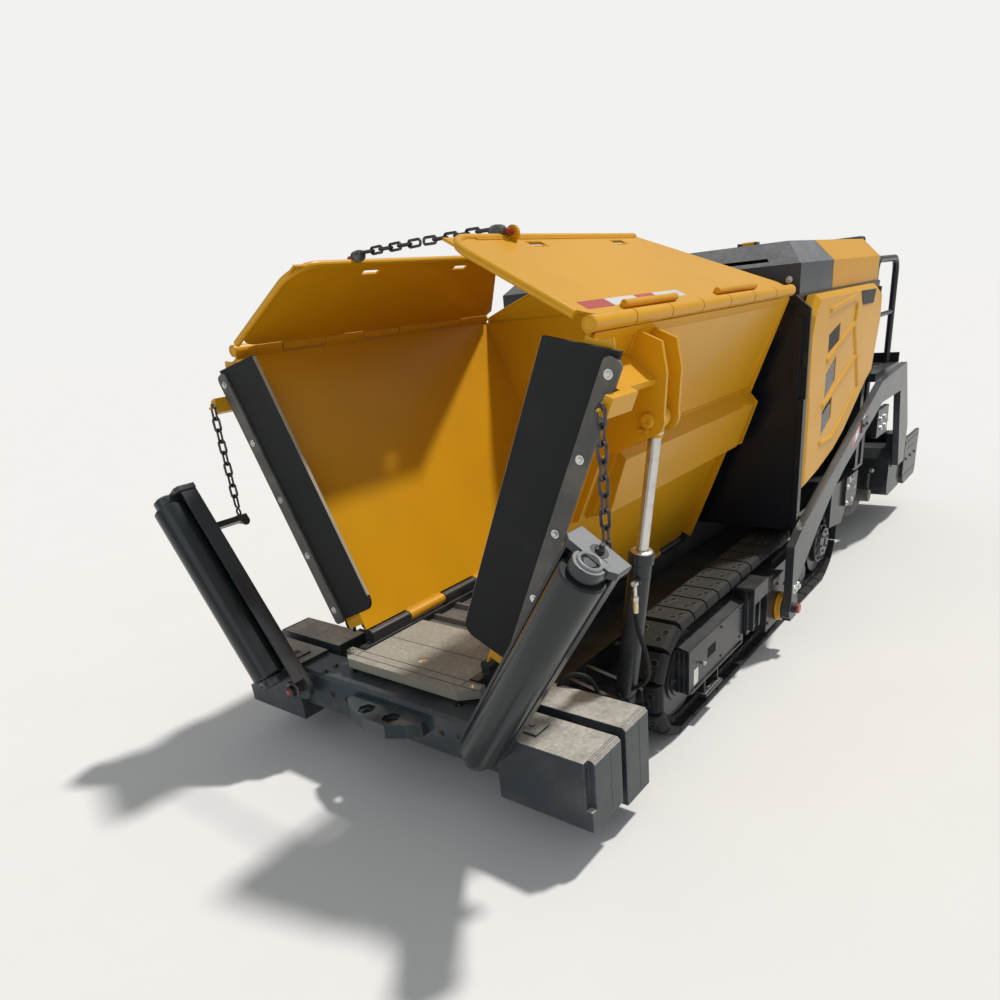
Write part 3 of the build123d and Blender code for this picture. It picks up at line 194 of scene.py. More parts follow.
class Finish:
    """One material and its Principled shader."""

    def __init__(self, name, **values):
        self.material = bpy.data.materials.new(name)
        self.material.use_nodes = True
        self.tree = self.material.node_tree
        self.shader = self.tree.nodes["Principled BSDF"]
        self.coordinates = self.node("ShaderNodeTexCoord", output="Object")
        for socket, value in values.items():
            self.shader.inputs[socket.replace("_", " ")].default_value = value

    def node(self, kind, settings=None, inputs=None, output=0):
        made = self.tree.nodes.new(kind)
        for key, value in (settings or {}).items():
            setattr(made, key, value)
        for key, value in (inputs or {}).items():
            self.join(value, made.inputs[key])
        return Wire(self, made.outputs[output])

    def join(self, value, socket):
        if isinstance(value, Wire):
            self.tree.links.new(value.socket, socket)
        elif socket.type == "RGBA" and len(value) == 3:
            socket.default_value = (*value, 1)
        else:
            socket.default_value = value

    def set(self, socket, value):
        self.join(value, self.shader.inputs[socket])

    def noise(self, scale, detail=3.0, roughness=0.55, stretch=None):
        place = self.coordinates
        if stretch:
            place = self.node("ShaderNodeMapping", inputs={"Vector": place, "Scale": stretch})
        return self.node(
            "ShaderNodeTexNoise", inputs={"Vector": place, "Scale": scale, "Detail": detail, "Roughness": roughness}
        )

    def mix(self, factor, a, b):
        return self.node("ShaderNodeMix", {"data_type": "RGBA"}, {0: factor, 6: a, 7: b}, output=2)

    def facing_up(self):
        """The upward part of the surface's direction."""
        normal = self.node("ShaderNodeNewGeometry", output="Normal")
        return self.node("ShaderNodeSeparateXYZ", inputs={0: normal}, output="Z")

    def height(self):
        """Height above the ground, in metres."""
        return self.node("ShaderNodeSeparateXYZ", inputs={0: self.coordinates}, output="Z")

    def edges(self, radius):
        """1 on sharp outer and inner edges, 0 on flat faces; and the rounded normal."""
        rounded = self.node("ShaderNodeBevel", {"samples": 4}, {"Radius": radius})
        true = self.node("ShaderNodeNewGeometry", output="Normal")
        dot = self.node("ShaderNodeVectorMath", {"operation": "DOT_PRODUCT"}, {0: rounded, 1: true}, output="Value")
        return (1.0 - dot).between(0.01, 0.12), rounded

    def bump(self, height, strength, distance, normal=None):
        inputs = {"Height": height, "Strength": strength, "Distance": distance}
        if normal:
            inputs["Normal"] = normal
        self.set("Normal", self.node("ShaderNodeBump", inputs=inputs))


def worn_paint(
    name, colour, dust_colour, dust, roughness, coat=0.3, wear=0.15, round_edge=0.004, low_dust=0.25, mottle=0.8
):
    """Sprayed paint: a faint orange peel, lighter worn edges, dust that settles on top and splashes low down."""
    f = Finish(name, Coat_Weight=coat, Coat_Roughness=0.1, Specular_IOR_Level=0.35)
    cloud = f.noise(1.7, 6.0)
    blotch = f.noise(7.0, 6.0, 0.62)
    specks = f.noise(55.0, 4.0, 0.7)
    base = f.mix(cloud.between(0.35, 0.68), colour, [c * mottle for c in colour])
    edge, rounded = f.edges(round_edge)
    base = f.mix(edge * (wear * 2.2) * specks.between(0.38, 0.6), base, [min(1, c * 1.6 + 0.07) for c in colour])
    lies = f.facing_up().between(0.3, 0.95)
    splash = (1.0 - f.height().between(0.1, 0.75)) * blotch.between(0.42, 0.7) * low_dust
    settled = lies * (0.25 + blotch * 0.9) * dust + splash + specks.between(0.62, 0.8) * (dust * 0.12)
    grain = f.mix(specks.between(0.35, 0.7), [c * 0.72 for c in dust_colour], dust_colour)
    f.set("Base Color", f.mix(settled, base, grain))
    f.set("Roughness", settled * 0.55 + blotch * 0.14 + (roughness - 0.07))
    f.bump(f.noise(420.0, 2.0) + settled * specks * 2.0, 0.03, 0.0004, rounded)
    return f.material


def bare_metal(name, colour, roughness, dust, grain=(1, 1, 1)):
    """Plain or plated steel with fine grain and a little grime."""
    f = Finish(name, Metallic=1.0)
    grains = f.noise(30.0, 4.0, 0.6, stretch=grain)
    spots = f.noise(14.0, 5.0, 0.65)
    edge, rounded = f.edges(0.002)
    base = f.mix(spots.between(0.4, 0.75), colour, [c * 0.7 for c in colour])
    base = f.mix(edge * 0.4, base, [min(1, c * 1.5 + 0.05) for c in colour])
    grime = spots.between(0.5, 0.8) * dust
    f.set("Base Color", f.mix(grime, base, (0.3, 0.27, 0.22)))
    f.set("Metallic", 1.0 - grime)
    f.set("Roughness", grains * 0.16 + grime * 0.4 + (roughness - 0.08))
    f.bump(grains, 0.08, 0.0005, rounded)
    return f.material


def moulded_rubber(name, colour, dust_colour, dust, roughness=0.75):
    """Rubber or plastic, matt, with dust in its grain."""
    f = Finish(name)
    cloud = f.noise(5.0, 5.0)
    fine = f.noise(260.0, 3.0, 0.7)
    edge, rounded = f.edges(0.003)
    lies = f.facing_up().between(0.2, 0.9)
    settled = lies * (0.3 + cloud * 0.8) + cloud.between(0.5, 0.75) * 0.35
    base = f.mix(edge * 0.3, colour, [c * 2.2 + 0.01 for c in colour])
    f.set("Base Color", f.mix(settled * dust, base, dust_colour))
    f.set("Roughness", fine * 0.15 + (roughness - 0.05))
    f.bump(fine, 0.18, 0.0008, rounded)
    return f.material


def ground_steel(name, colour, dust_colour):
    """Track shoe steel: dusty and scuffed on top, brown in the hollows, bright where it rubs."""
    f = Finish(name, Metallic=0.0)
    blotch = f.noise(9.0, 6.0, 0.65)
    scuffs = f.noise(24.0, 5.0, 0.7, stretch=(1, 6, 1))
    fine = f.noise(160.0, 3.0, 0.7)
    edge, rounded = f.edges(0.005)
    base = f.mix(blotch.between(0.35, 0.7), colour, dust_colour)
    base = f.mix(scuffs.between(0.55, 0.75) * 0.5, base, [c * 0.45 for c in colour])
    base = f.mix(edge * 0.55, base, (0.22, 0.205, 0.18))
    f.set("Base Color", base)
    f.set("Roughness", blotch * 0.25 + 0.45 - edge * 0.15)
    f.bump(fine + blotch * 2.0, 0.2, 0.001, rounded)
    return f.material


def soft_vinyl(name, colour):
    """Seat cover: fine leather grain with a dull sheen."""
    f = Finish(name, Roughness=0.5, Sheen_Weight=0.15)
    cells = f.node("ShaderNodeTexVoronoi", {"feature": "SMOOTH_F1"}, {"Vector": f.coordinates, "Scale": 420.0})
    cloud = f.noise(6.0, 4.0)
    f.set("Base Color", f.mix(cloud.between(0.4, 0.7), colour, [c * 1.5 + 0.004 for c in colour]))
    f.set("Roughness", cells * 0.25 + 0.42)
    f.bump(cells, 0.25, 0.0006)
    return f.material


def woven_grey(name):
    """Coarse grey cloth of the sleeves round the chain hooks."""
    f = Finish(name, Roughness=0.9)
    folds = f.noise(60.0, 4.0, 0.6, stretch=(1, 0.4, 0.4))
    thread = f.noise(700.0, 2.0, 0.5)
    f.set("Base Color", f.mix(folds.between(0.35, 0.65), (0.04, 0.045, 0.05), (0.17, 0.18, 0.19)))
    f.bump(folds + thread * 0.3, 0.6, 0.003)
    return f.material


def make_materials():
    """Every finish of the machine: those of the record's slots first, then those of the fine parts."""
    c = bpy.context.scene.paver_colours
    yellow, charcoal, navy, grey, dust = (tuple(x) for x in (c.yellow, c.charcoal, c.navy, c.grey, c.dust))
    return {
        "yellow_paint": worn_paint(
            "yellow_paint", yellow, dust, dust=0.012, roughness=0.38, coat=0.1, wear=0.03, low_dust=0.06, mottle=0.92
        ),
        "dark_paint": worn_paint("charcoal_paint", charcoal, dust, dust=0.09, roughness=0.40, wear=0.25, low_dust=0.15),
        "navy_paint": worn_paint(
            "navy_paint", navy, dust, dust=0.02, roughness=0.36, coat=0.15, wear=0.1, low_dust=0.04
        ),
        "grey_paint": worn_paint("grey_paint", grey, dust, dust=0.07, roughness=0.32, wear=0.3, low_dust=0.12),
        "blue_grey_paint": worn_paint(
            "beam_paint", (0.026, 0.040, 0.052), dust, dust=0.14, roughness=0.40, wear=0.4, low_dust=0.15
        ),
        "beige_paint": worn_paint(
            "dusty_plate", (0.26, 0.25, 0.21), (0.46, 0.43, 0.36), dust=0.95, roughness=0.62, coat=0.0, wear=0.4
        ),
        "cast_iron": worn_paint(
            "ballast_paint", (0.040, 0.050, 0.060), (0.52, 0.50, 0.45), dust=1.3, roughness=0.45, wear=0.7, coat=0.2,
            round_edge=0.006, low_dust=0.08,
        ),
        "wear_steel": ground_steel("worn_steel", (0.085, 0.083, 0.078), (0.150, 0.142, 0.125)),
        "chrome": bare_metal("hard_chrome", (0.66, 0.64, 0.61), 0.3, dust=0.1, grain=(1, 1, 25)),
        "rubber": moulded_rubber("rubber", (0.007, 0.008, 0.009), dust, dust=0.04),
        "black_plastic": moulded_rubber("black_plastic", (0.007, 0.007, 0.008), dust, dust=0.03, roughness=0.45),
        "ply_edge": moulded_rubber("cut_skirt_edge", (0.38, 0.35, 0.27), dust, dust=0.5, roughness=0.85),
        "zinc": bare_metal("zinc_plate", (0.72, 0.72, 0.70), 0.36, dust=0.15),
        "brass": bare_metal("pale_brass", (0.70, 0.60, 0.38), 0.34, dust=0.1),
        "dark_steel": bare_metal("blackened_steel", (0.10, 0.10, 0.105), 0.38, dust=0.3),
        "steel_roller": worn_paint(
            "roller_steel", (0.017, 0.024, 0.026), dust, dust=0.05, roughness=0.28, coat=0.15, wear=0.2, low_dust=0.1
        ),
        # hood front: the pale grey that worn_paint lays on upward faces here as its dust is a painted sky reflection on
        # the hood's top
        "hood_grey_painted_sky_reflection": worn_paint("hood_grey_painted_sky_reflection", grey, (0.42, 0.42, 0.44), dust=0.8, roughness=0.3, low_dust=0.0),
        # light grey cap paint, lightened further to paint the sunlit brightness of the cap's top
        "cap_grey_painted_sunlit": worn_paint("cap_grey_painted_sunlit", (0.30, 0.315, 0.33), dust, dust=0.1, roughness=0.3, wear=0.3),
        "red_tape": worn_paint("red_tape", (0.55, 0.035, 0.03), dust, dust=0.1, roughness=0.35, coat=0.4, wear=0.0),
        "white_tape": worn_paint("white_tape", (0.80, 0.80, 0.78), dust, dust=0.1, roughness=0.3, coat=0.4, wear=0.0),
        "red_paint": worn_paint("red_paint", (0.45, 0.012, 0.012), dust, dust=0.05, roughness=0.3, coat=0.4),
        # near-black: real dark joints in the seams, and painted shade in the holes and in the side box
        "hole": moulded_rubber("dark_joints_and_painted_hole_shade", (0.003, 0.003, 0.003), (0.02, 0.018, 0.015), dust=0.2, roughness=0.95),
        "seat_cover": soft_vinyl("seat_cover", (0.012, 0.012, 0.013)),
        "hook_cloth": woven_grey("hook_cloth"),
    }


MATERIALS = {}


class Shape:
    """A mesh in the making, on the left side where it has a side; every call adds one form to it."""

    def __init__(self, side=None):
        self.bm = bmesh.new()
        self.side = side

    def rod(self, start, end, radius, tip=None, sides=20):
        """A round bar, or a cone where tip gives its other end's radius."""
        start, end = Vector(start), Vector(end)
        line = end - start
        place = Matrix.Translation((start + end) / 2) @ line.to_track_quat("Z", "Y").to_matrix().to_4x4()
        bmesh.ops.create_cone(
            self.bm, cap_ends=True, segments=sides, radius1=radius, radius2=radius if tip is None else tip,
            depth=line.length, matrix=place,
        )

    def block(self, low, high):
        """A box between two corners."""
        low, high = Vector(low), Vector(high)
        place = Matrix.Translation((low + high) / 2) @ Matrix.Diagonal((*(high - low), 1))
        bmesh.ops.create_cube(self.bm, size=1, matrix=place)

    def plate(self, points, depth):
        """A flat outline, given depth along a vector."""
        face = self.bm.faces.new([self.bm.verts.new(p) for p in points])
        raised = bmesh.ops.extrude_face_region(self.bm, geom=[face])
        corners = [v for v in raised["geom"] if isinstance(v, bmesh.types.BMVert)]
        bmesh.ops.translate(self.bm, verts=corners, vec=depth)

    def turned(self, centre, axis, profile, sides=28):
        """A turned form; the profile gives (along the axis, radius)."""
        centre, axis = Vector(centre), Vector(axis).normalized()
        out = axis.orthogonal().normalized()
        line = [self.bm.verts.new(centre + axis * along + out * radius) for along, radius in profile]
        edges = [self.bm.edges.new(pair) for pair in zip(line, line[1:])]
        bmesh.ops.spin(
            self.bm, geom=line + edges, cent=centre, axis=axis, dvec=(0, 0, 0), angle=math.tau, steps=sides,
            use_merge=True, use_duplicate=False,
        )

    def bolt(self, spot, axis, size=0.011, washer=1.75):
        """A hexagon head on its washer; size is the head's radius."""
        spot, axis = Vector(spot), Vector(axis).normalized()
        rest = spot + axis * size * 0.2
        self.rod(spot - axis * size * 0.1, rest, size * washer, size * washer * 0.96)
        self.rod(rest, rest + axis * size * 0.62, size, sides=6)
        self.rod(rest + axis * size * 0.62, rest + axis * size * 0.75, size * 0.85, size * 0.7, sides=12)

    def bolt_circle(self, centre, radius, count, size, washer=1.75, first=0):
        """Bolts evenly round a spot on an outer side; first is the first one's angle in degrees."""
        for i in range(count):
            turn = math.radians(360 / count * i + first)
            out = Vector((0, math.cos(turn), math.sin(turn))) * radius
            self.bolt(centre + out, X, size, washer)

    def ring(self, centre, axis, radius, wire, steps=24, round_of=8):
        """A ring of round wire."""
        centre, axis = Vector(centre), Vector(axis).normalized()
        out = axis.orthogonal().normalized()
        side = Matrix((out, axis, out.cross(axis))).transposed().to_4x4()
        made = bmesh.ops.create_circle(
            self.bm, segments=round_of, radius=wire, matrix=Matrix.Translation(centre + out * radius) @ side
        )
        edges = {e for v in made["verts"] for e in v.link_edges}
        bmesh.ops.spin(
            self.bm, geom=made["verts"] + list(edges), cent=centre, axis=axis, dvec=(0, 0, 0), angle=math.tau,
            steps=steps, use_merge=True, use_duplicate=False,
        )

    def chain_link(self, centre, along, normal, length, width, wire):
        """One oval link of round wire."""
        before = set(self.bm.verts)
        self.ring(centre, normal, width / 2 - wire, wire, steps=14, round_of=6)
        centre, along = Vector(centre), Vector(along).normalized()
        for v in set(self.bm.verts) - before:
            v.co += along * math.copysign((length - width) / 2, (v.co - centre).dot(along))

    def place(self, label, body, slot, bevel=0.0, finish=None):
        """Turns the forms into one piece that rides on a body; one of the right side is mirrored there."""
        bmesh.ops.remove_doubles(self.bm, verts=self.bm.verts, dist=MERGE_DISTANCE)
        bmesh.ops.scale(self.bm, vec=(mirror(self.side), 1, 1), verts=self.bm.verts)
        bmesh.ops.recalc_face_normals(self.bm, faces=self.bm.faces)
        for face in self.bm.faces:
            face.smooth = True
        for edge in self.bm.edges:
            edge.smooth = edge.calc_face_angle(math.pi) < SMOOTH_ANGLE
        name = sided(label, self.side)
        mesh = bpy.data.meshes.new(name)
        self.bm.to_mesh(mesh)
        self.bm.free()
        piece = add_piece(name, mesh, body, self.side, slot, finish)
        if bevel:
            rounding = piece.modifiers.new("bevel", "BEVEL")
            rounding.width = bevel
            rounding.segments = 2
            rounding.angle_limit = BEVEL_ANGLE
        return piece


def sided(label, side):
    """A name for the side that it belongs to."""
    return label + "_" + side if side else label


def mirror(side):
    """The factor of x that takes the left side to this one."""
    return -1 if side == "right" else 1


def add_piece(name, data, body, side, slot, finish=None):
    """Makes a piece, gives it its finish and has it ride on its body."""
    data.materials.append(MATERIALS[finish or slot])
    piece = bpy.data.objects.new(name, data)
    bpy.context.collection.objects.link(piece)
    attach(piece, body if body in SHARED_BODIES else sided(body, side) + "_body")
    return piece


def hose(label, body, side, points, length):
    """A hydraulic hose: one smooth curve along the run of its control points."""
    name = sided(label, side)
    radius = bpy.context.scene.paver_sizes.hose
    points = [(x * mirror(side), y, z) for x, y, z in points]
    curve = bpy.data.curves.new(name, "CURVE")
    curve.dimensions = "3D"
    curve.bevel_depth = radius
    curve.bevel_resolution = 3
    spline = curve.splines.new("NURBS")
    spline.points.add(len(points) - 1)
    for point, spot in zip(spline.points, points):
        point.co = (*spot, 1)
    spline.order_u = 3
    spline.use_endpoint_u = True
    spline.resolution_u = 12
    piece = add_piece(name, curve, body, side, "rubber")


class Pieces:
    """What the operators that build pieces share: first those in the middle, then each side's."""

    def execute(self, context):
        self.middle()
        for side in SIDES:
            self.side(side)
        return {"FINISHED"}

    def middle(self):
        pass

    def side(self, side):
        pass


class PaverFinishes(bpy.types.Operator):
    """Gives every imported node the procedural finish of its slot"""

    bl_idname = "paver.finishes"
    bl_label = "Finishes"

    def execute(self, context):
        MATERIALS.update(make_materials())
        for part in frame["record"]["subparts"]:
            node = frame["nodes"][part["node"]]
            finish = part["material_slot"]
            # the hood front's finish holds a painted sky reflection on its upward faces
            for start, own in (("push_roller", "steel_roller"), ("hood_front", "hood_grey_painted_sky_reflection")):
                if part["node"].startswith(start):
                    finish = own
            node.data.materials.clear()
            node.data.materials.append(MATERIALS[finish])
        return {"FINISHED"}


class PaverWings(Pieces, bpy.types.Operator):
    """Clamp bolts, skirt edges, hinge lips and plugs, welds and pin heads of the hopper wings"""

    bl_idname = "paver.wings"
    bl_label = "Hopper wings"

    def side(self, side):
        size = bpy.context.scene.paver_sizes.clamp_bolt
        bolts = Shape(side)
        for i in range(5):
            bolts.bolt(on_wing(0.165 + 0.265 * i, 0.12, -0.0286), -Y, size)
        bolts.place("clamp_bolts", "wing", "chrome", finish="zinc")

        edge = Shape(side)
        corners = [(0.165, -0.1275), (1.232, -0.1275), (1.232, -0.1295), (0.165, -0.1295)]
        edge.plate([on_wing(s, t, -0.0155) for s, t in corners], (0, 0.0145, 0))
        edge.place("skirt_cut_edge", "wing", "rubber", finish="ply_edge")

        welds = Shape(side)
        for start, end, radius in (
            ((0.565, 0.009, 0.289), (1.27, 0.009, 0.289), 0.005), ((0.565, 0.009, 0.407), (1.27, 0.009, 0.407), 0.005),
            ((1.055, 0.008, 0.01), (1.055, 0.008, 0.285), 0.005), ((1.195, 0.012, 0.01), (1.195, 0.012, 0.285), 0.005),
            ((0.549, 0.009, 0.42), (0.549, 0.009, 1.60), 0.005), ((0.869, 0.009, 0.42), (0.869, 0.009, 1.66), 0.005),
            ((0.07, 0.009, 0.009), (1.08, 0.009, 0.009), 0.004),
        ):
            welds.rod(on_wing(*start), on_wing(*end), radius, sides=8)
        welds.place("wing_welds", "wing", "yellow_paint")

        lips = Shape(side)
        corners = [(1.262, 0.006), (1.262, 0.011), (1.294, 0.0195), (1.2962, 0.0172), (1.285, 0.0075)]
        lips.plate([on_wing(s, t, 0.02) for s, t in corners], (0, 1.55, 0))
        lips.place("hinge_lips", "wing", "yellow_paint")

        plugs = Shape(side)
        top = at(0.864, 0, 1.7044)
        plugs.turned(
            top, -Y, [(-0.004, 0.0238), (0.001, 0.0236), (0.0012, 0.019), (-0.001, 0.0185), (-0.001, 0)]
        )
        plugs.turned(
            top + Vector((0, WING_LENGTH, 0)), Y, [(-0.01, 0.0125), (0.0, 0.0125), (0.002, 0.010), (0.002, 0)]
        )
        plugs.place("top_hinge_plugs", "wing", "yellow_paint")

        pins = Shape(side)
        for y, way in ((0.279, -1), (0.417, 1)):
            pins.turned(
                at(0.892, y, 1.392), Y * way,
                [(-0.010, 0.024), (0.004, 0.024), (0.008, 0.020), (0.009, 0.008), (0.007, 0.007), (0.007, 0)],
            )
            spot = at(0.892, y, 1.392) - UP_WING * 0.035
            half = Vector((0.018, 0.004, 0.006))
            pins.block(spot - half, spot + half)
            pins.bolt(spot + Vector((0.010, way * 0.004, 0)), Y * way, 0.006)
        pins.place("cylinder_pin_heads", "wing", "yellow_paint", bevel=0.001)


class PaverFlaps(Pieces, bpy.types.Operator):
    """Cover bars, warning tape and rim welds of the top flaps"""

    bl_idname = "paver.flaps"
    bl_label = "Top flaps"

    def side(self, side):
        bars = Shape(side)
        for front, rear in ((0.257, 0.609), (0.955, 1.335)):
            bars.rod(on_flap(0.046, front, 0.011), on_flap(0.046, rear, 0.011), 0.0125)
            bars.rod(on_flap(0.057, front + 0.004, 0.001), on_flap(0.057, rear - 0.004, 0.001), 0.004, sides=8)
        bars.place("flap_bars", "flap", "yellow_paint", bevel=0.002)

        for colour, runs in (
            ("red_tape", ((0.085, 0.24), (0.423, 0.55))), ("white_tape", ((0.24, 0.423), (0.55, 0.74)))
        ):
            tape = Shape(side)
            for front, rear in runs:
                corners = [(0.062, front), (0.108, front), (0.108, rear), (0.062, rear)]
                tape.plate([on_flap(u, y, 0) for u, y in corners], OVER_FLAP * 0.0006)
            tape.place("flap_" + colour, "flap", "yellow_paint", finish=colour)

        welds = Shape(side)
        welds.rod(on_flap(0.552, 0.14, 0.001), on_flap(0.552, 1.17, 0.001), 0.004, sides=8)
        for y in (0.40, 0.96):
            for along in (0.493, 0.529):
                welds.rod(on_flap(along, y - 0.024, 0.0), on_flap(along, y + 0.066, 0.0), 0.0025, sides=8)
        lug = on_flap(0.552, 0.324, 0.012)
        welds.rod(lug + Vector((-0.022, -0.008, -0.004)), lug + Vector((0.022, -0.008, -0.004)), 0.005, sides=8)
        welds.place("flap_welds", "flap", "yellow_paint")


class PaverChains(Pieces, bpy.types.Operator):
    """The hanging chains and the chain between the flaps, of round wire, with their sleeved hooks and red pins"""

    bl_idname = "paver.chains"
    bl_label = "Chains"

    def side(self, side):
        wire = bpy.context.scene.paver_sizes.chain_wire
        hanging = Shape(side)
        for i in range(9):
            centre = at(0.95, HANG_Y, 1.4688 - 0.0481 * i)
            normal = Y if i % 2 == 0 else X
            hanging.chain_link(centre, Z, normal, 0.0481 + 4 * wire, 0.039, wire)
        hanging.ring(at(0.95, HANG_Y, 1.4978), Y, 0.0095, 0.003, steps=18)
        links = hanging.place("hanging_links", "chain", "wear_steel", finish="dark_steel")
        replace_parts(links, "hang_chain_" + side)

        run = Shape(side)
        for i in range(6):
            centre = at(0.0385 + 0.0497 * i, FLAP_CHAIN_Y, 2.0075)
            normal = Y if i % 2 == 0 else Z
            run.chain_link(centre, X, normal, 0.0497 + 4 * wire, 0.033, wire)
        run.rod(at(0.305, FLAP_CHAIN_Y, 2.006), at(0.335, FLAP_CHAIN_Y, 2.000), 0.007)
        links = run.place("flap_links", "flap", "wear_steel", finish="dark_steel")
        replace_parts(links, "flap_chain_" + side)

        sleeve = Shape(side)
        sleeve.turned(
            at(0.312, FLAP_CHAIN_Y, 2.000), (1, 0, -0.06),
            [(0, 0), (0, 0.011), (0.006, 0.018), (0.02, 0.0225), (0.045, 0.0215), (0.058, 0.018), (0.066, 0.010),
             (0.066, 0)],
            sides=20,
        )
        for v in sleeve.bm.verts:
            fold = math.sin(v.co.x * 260 + v.co.z * 90) + 0.6 * math.sin(v.co.y * 310 - v.co.x * 140)
            v.co += Vector((0, v.co.y - FRONT - FLAP_CHAIN_Y, (v.co.z - 2.000) * 0.4)) * fold * 0.09
        cover = sleeve.place("hook_sleeve", "flap", "rubber", finish="hook_cloth")
        softer = cover.modifiers.new("soft", "SUBSURF")
        softer.levels = softer.render_levels = 1

        pin = Shape(side)
        hole = at(0.3888, 0.324, 1.9945)
        pin.rod(at(0.365, 0.303, 1.997), at(0.404, 0.303, 1.9945), 0.0065)
        pin.rod(hole - Y * 0.026, hole + Y * 0.014, 0.0075)
        pin.turned(hole - Y * 0.026, -Y, [(0, 0.0085), (0.005, 0.0085), (0.007, 0.006), (0.007, 0)])
        pin.place("red_hook_pin", "flap", "wear_steel", finish="red_paint")


class PaverCylinders(Pieces, bpy.types.Operator):
    """Rod eyes, glands, fittings and hoses of the wing cylinders"""

    bl_idname = "paver.cylinders"
    bl_label = "Wing cylinders"

    def side(self, side):
        eye = Shape(side)
        centre = Vector((0.892, BARREL_Y, 1.392))
        half = [(-0.0255, 0.019), (-0.0255, 0.034), (-0.0225, 0.037)]
        eye.turned(centre, Y, half + [(-along, radius) for along, radius in reversed(half)])
        neck = centre - BARREL_AXIS * 0.033
        eye.rod(neck, neck - BARREL_AXIS * 0.03, 0.0295, 0.026)
        eye.place("rod_eye", "rod", "yellow_paint")

        gland = Shape(side)
        gland.turned(
            on_barrel(0.64), BARREL_AXIS,
            [(-0.002, 0.041), (0.004, 0.040), (0.007, 0.036), (0.008, 0.024), (0.004, 0.0228)],
        )
        gland.place("gland_lip", "barrel", "chrome", finish="zinc")
        rings = Shape(side)
        for along in (0.598, 0.545):
            rings.turned(
                on_barrel(along), BARREL_AXIS, [(-0.003, 0.042), (-0.002, 0.0435), (0.002, 0.0435), (0.003, 0.042)]
            )
        rings.rod(on_barrel(0.54, 0.034, 0.014), on_barrel(0.54, 0.056, 0.018), 0.015)
        rings.place("barrel_rings", "barrel", "dark_paint")

        fitting = Shape(side)
        start = on_barrel(0.54, 0.056, 0.018)
        bend = start - Y * 0.009
        fitting.rod(start, start - Y * 0.018, 0.0125, sides=6)
        fitting.rod(start - Y * 0.018, start - Y * 0.022, 0.009)
        fitting.rod(bend, bend - Z * 0.05, 0.0075)
        fitting.rod(bend - Z * 0.05, bend - Z * 0.066, 0.012, sides=6)
        fitting.place("banjo_fitting", "barrel", "chrome", finish="zinc")
        ferrule = Shape(side)
        ferrule.rod(bend - Z * 0.066, bend - Z * 0.112, 0.0105)
        for i in range(4):
            ferrule.ring(bend - Z * (0.072 + 0.009 * i), Z, 0.0105, 0.0012, steps=20, round_of=6)
        ferrule.place("hose_ferrule", "barrel", "chrome", finish="brass")

        lead = start - Vector((0, 0.009, 0.100))
        run = (
            (0.842, -0.005, 0.640), (0.872, 0.0, 0.545), (0.862, 0.03, 0.430), (0.800, 0.045, 0.375),
            (0.755, 0.050, 0.345), (0.735, 0.052, 0.320),
        )
        points = [lead, lead - Z * 0.03, *((x, lead.y + y, z) for x, y, z in run)]
        hose("cylinder_hose", "barrel", side, points, 0.47)
        run = (
            (0.560, 0.10, 0.372), (0.575, 0.12, 0.43), (0.620, 0.15, 0.478), (0.690, 0.17, 0.470),
            (0.715, 0.19, 0.40), (0.700, 0.21, 0.33), (0.64, 0.23, 0.30), (0.52, 0.24, 0.30),
        )
        hose("beam_hose", "tractor", side, [(x, FRONT + y, z) for x, y, z in run], 0.529)
        ports = Shape(side)
        ports.rod(at(0.560, 0.10, 0.33), at(0.560, 0.10, 0.36), 0.016, sides=6)
        ports.rod(at(0.560, 0.10, 0.36), at(0.560, 0.10, 0.392), 0.0115)
        ports.bolt(at(0.59, 0.06, 0.33), Z, 0.008)
        ports.place("hose_ports", "tractor", "chrome", finish="zinc")
        manifold = Shape(side)
        manifold.block(at(0.515, 0.03, 0.27), at(0.62, 0.14, 0.331))
        manifold.place("valve_block", "tractor", "dark_paint", bevel=0.004)


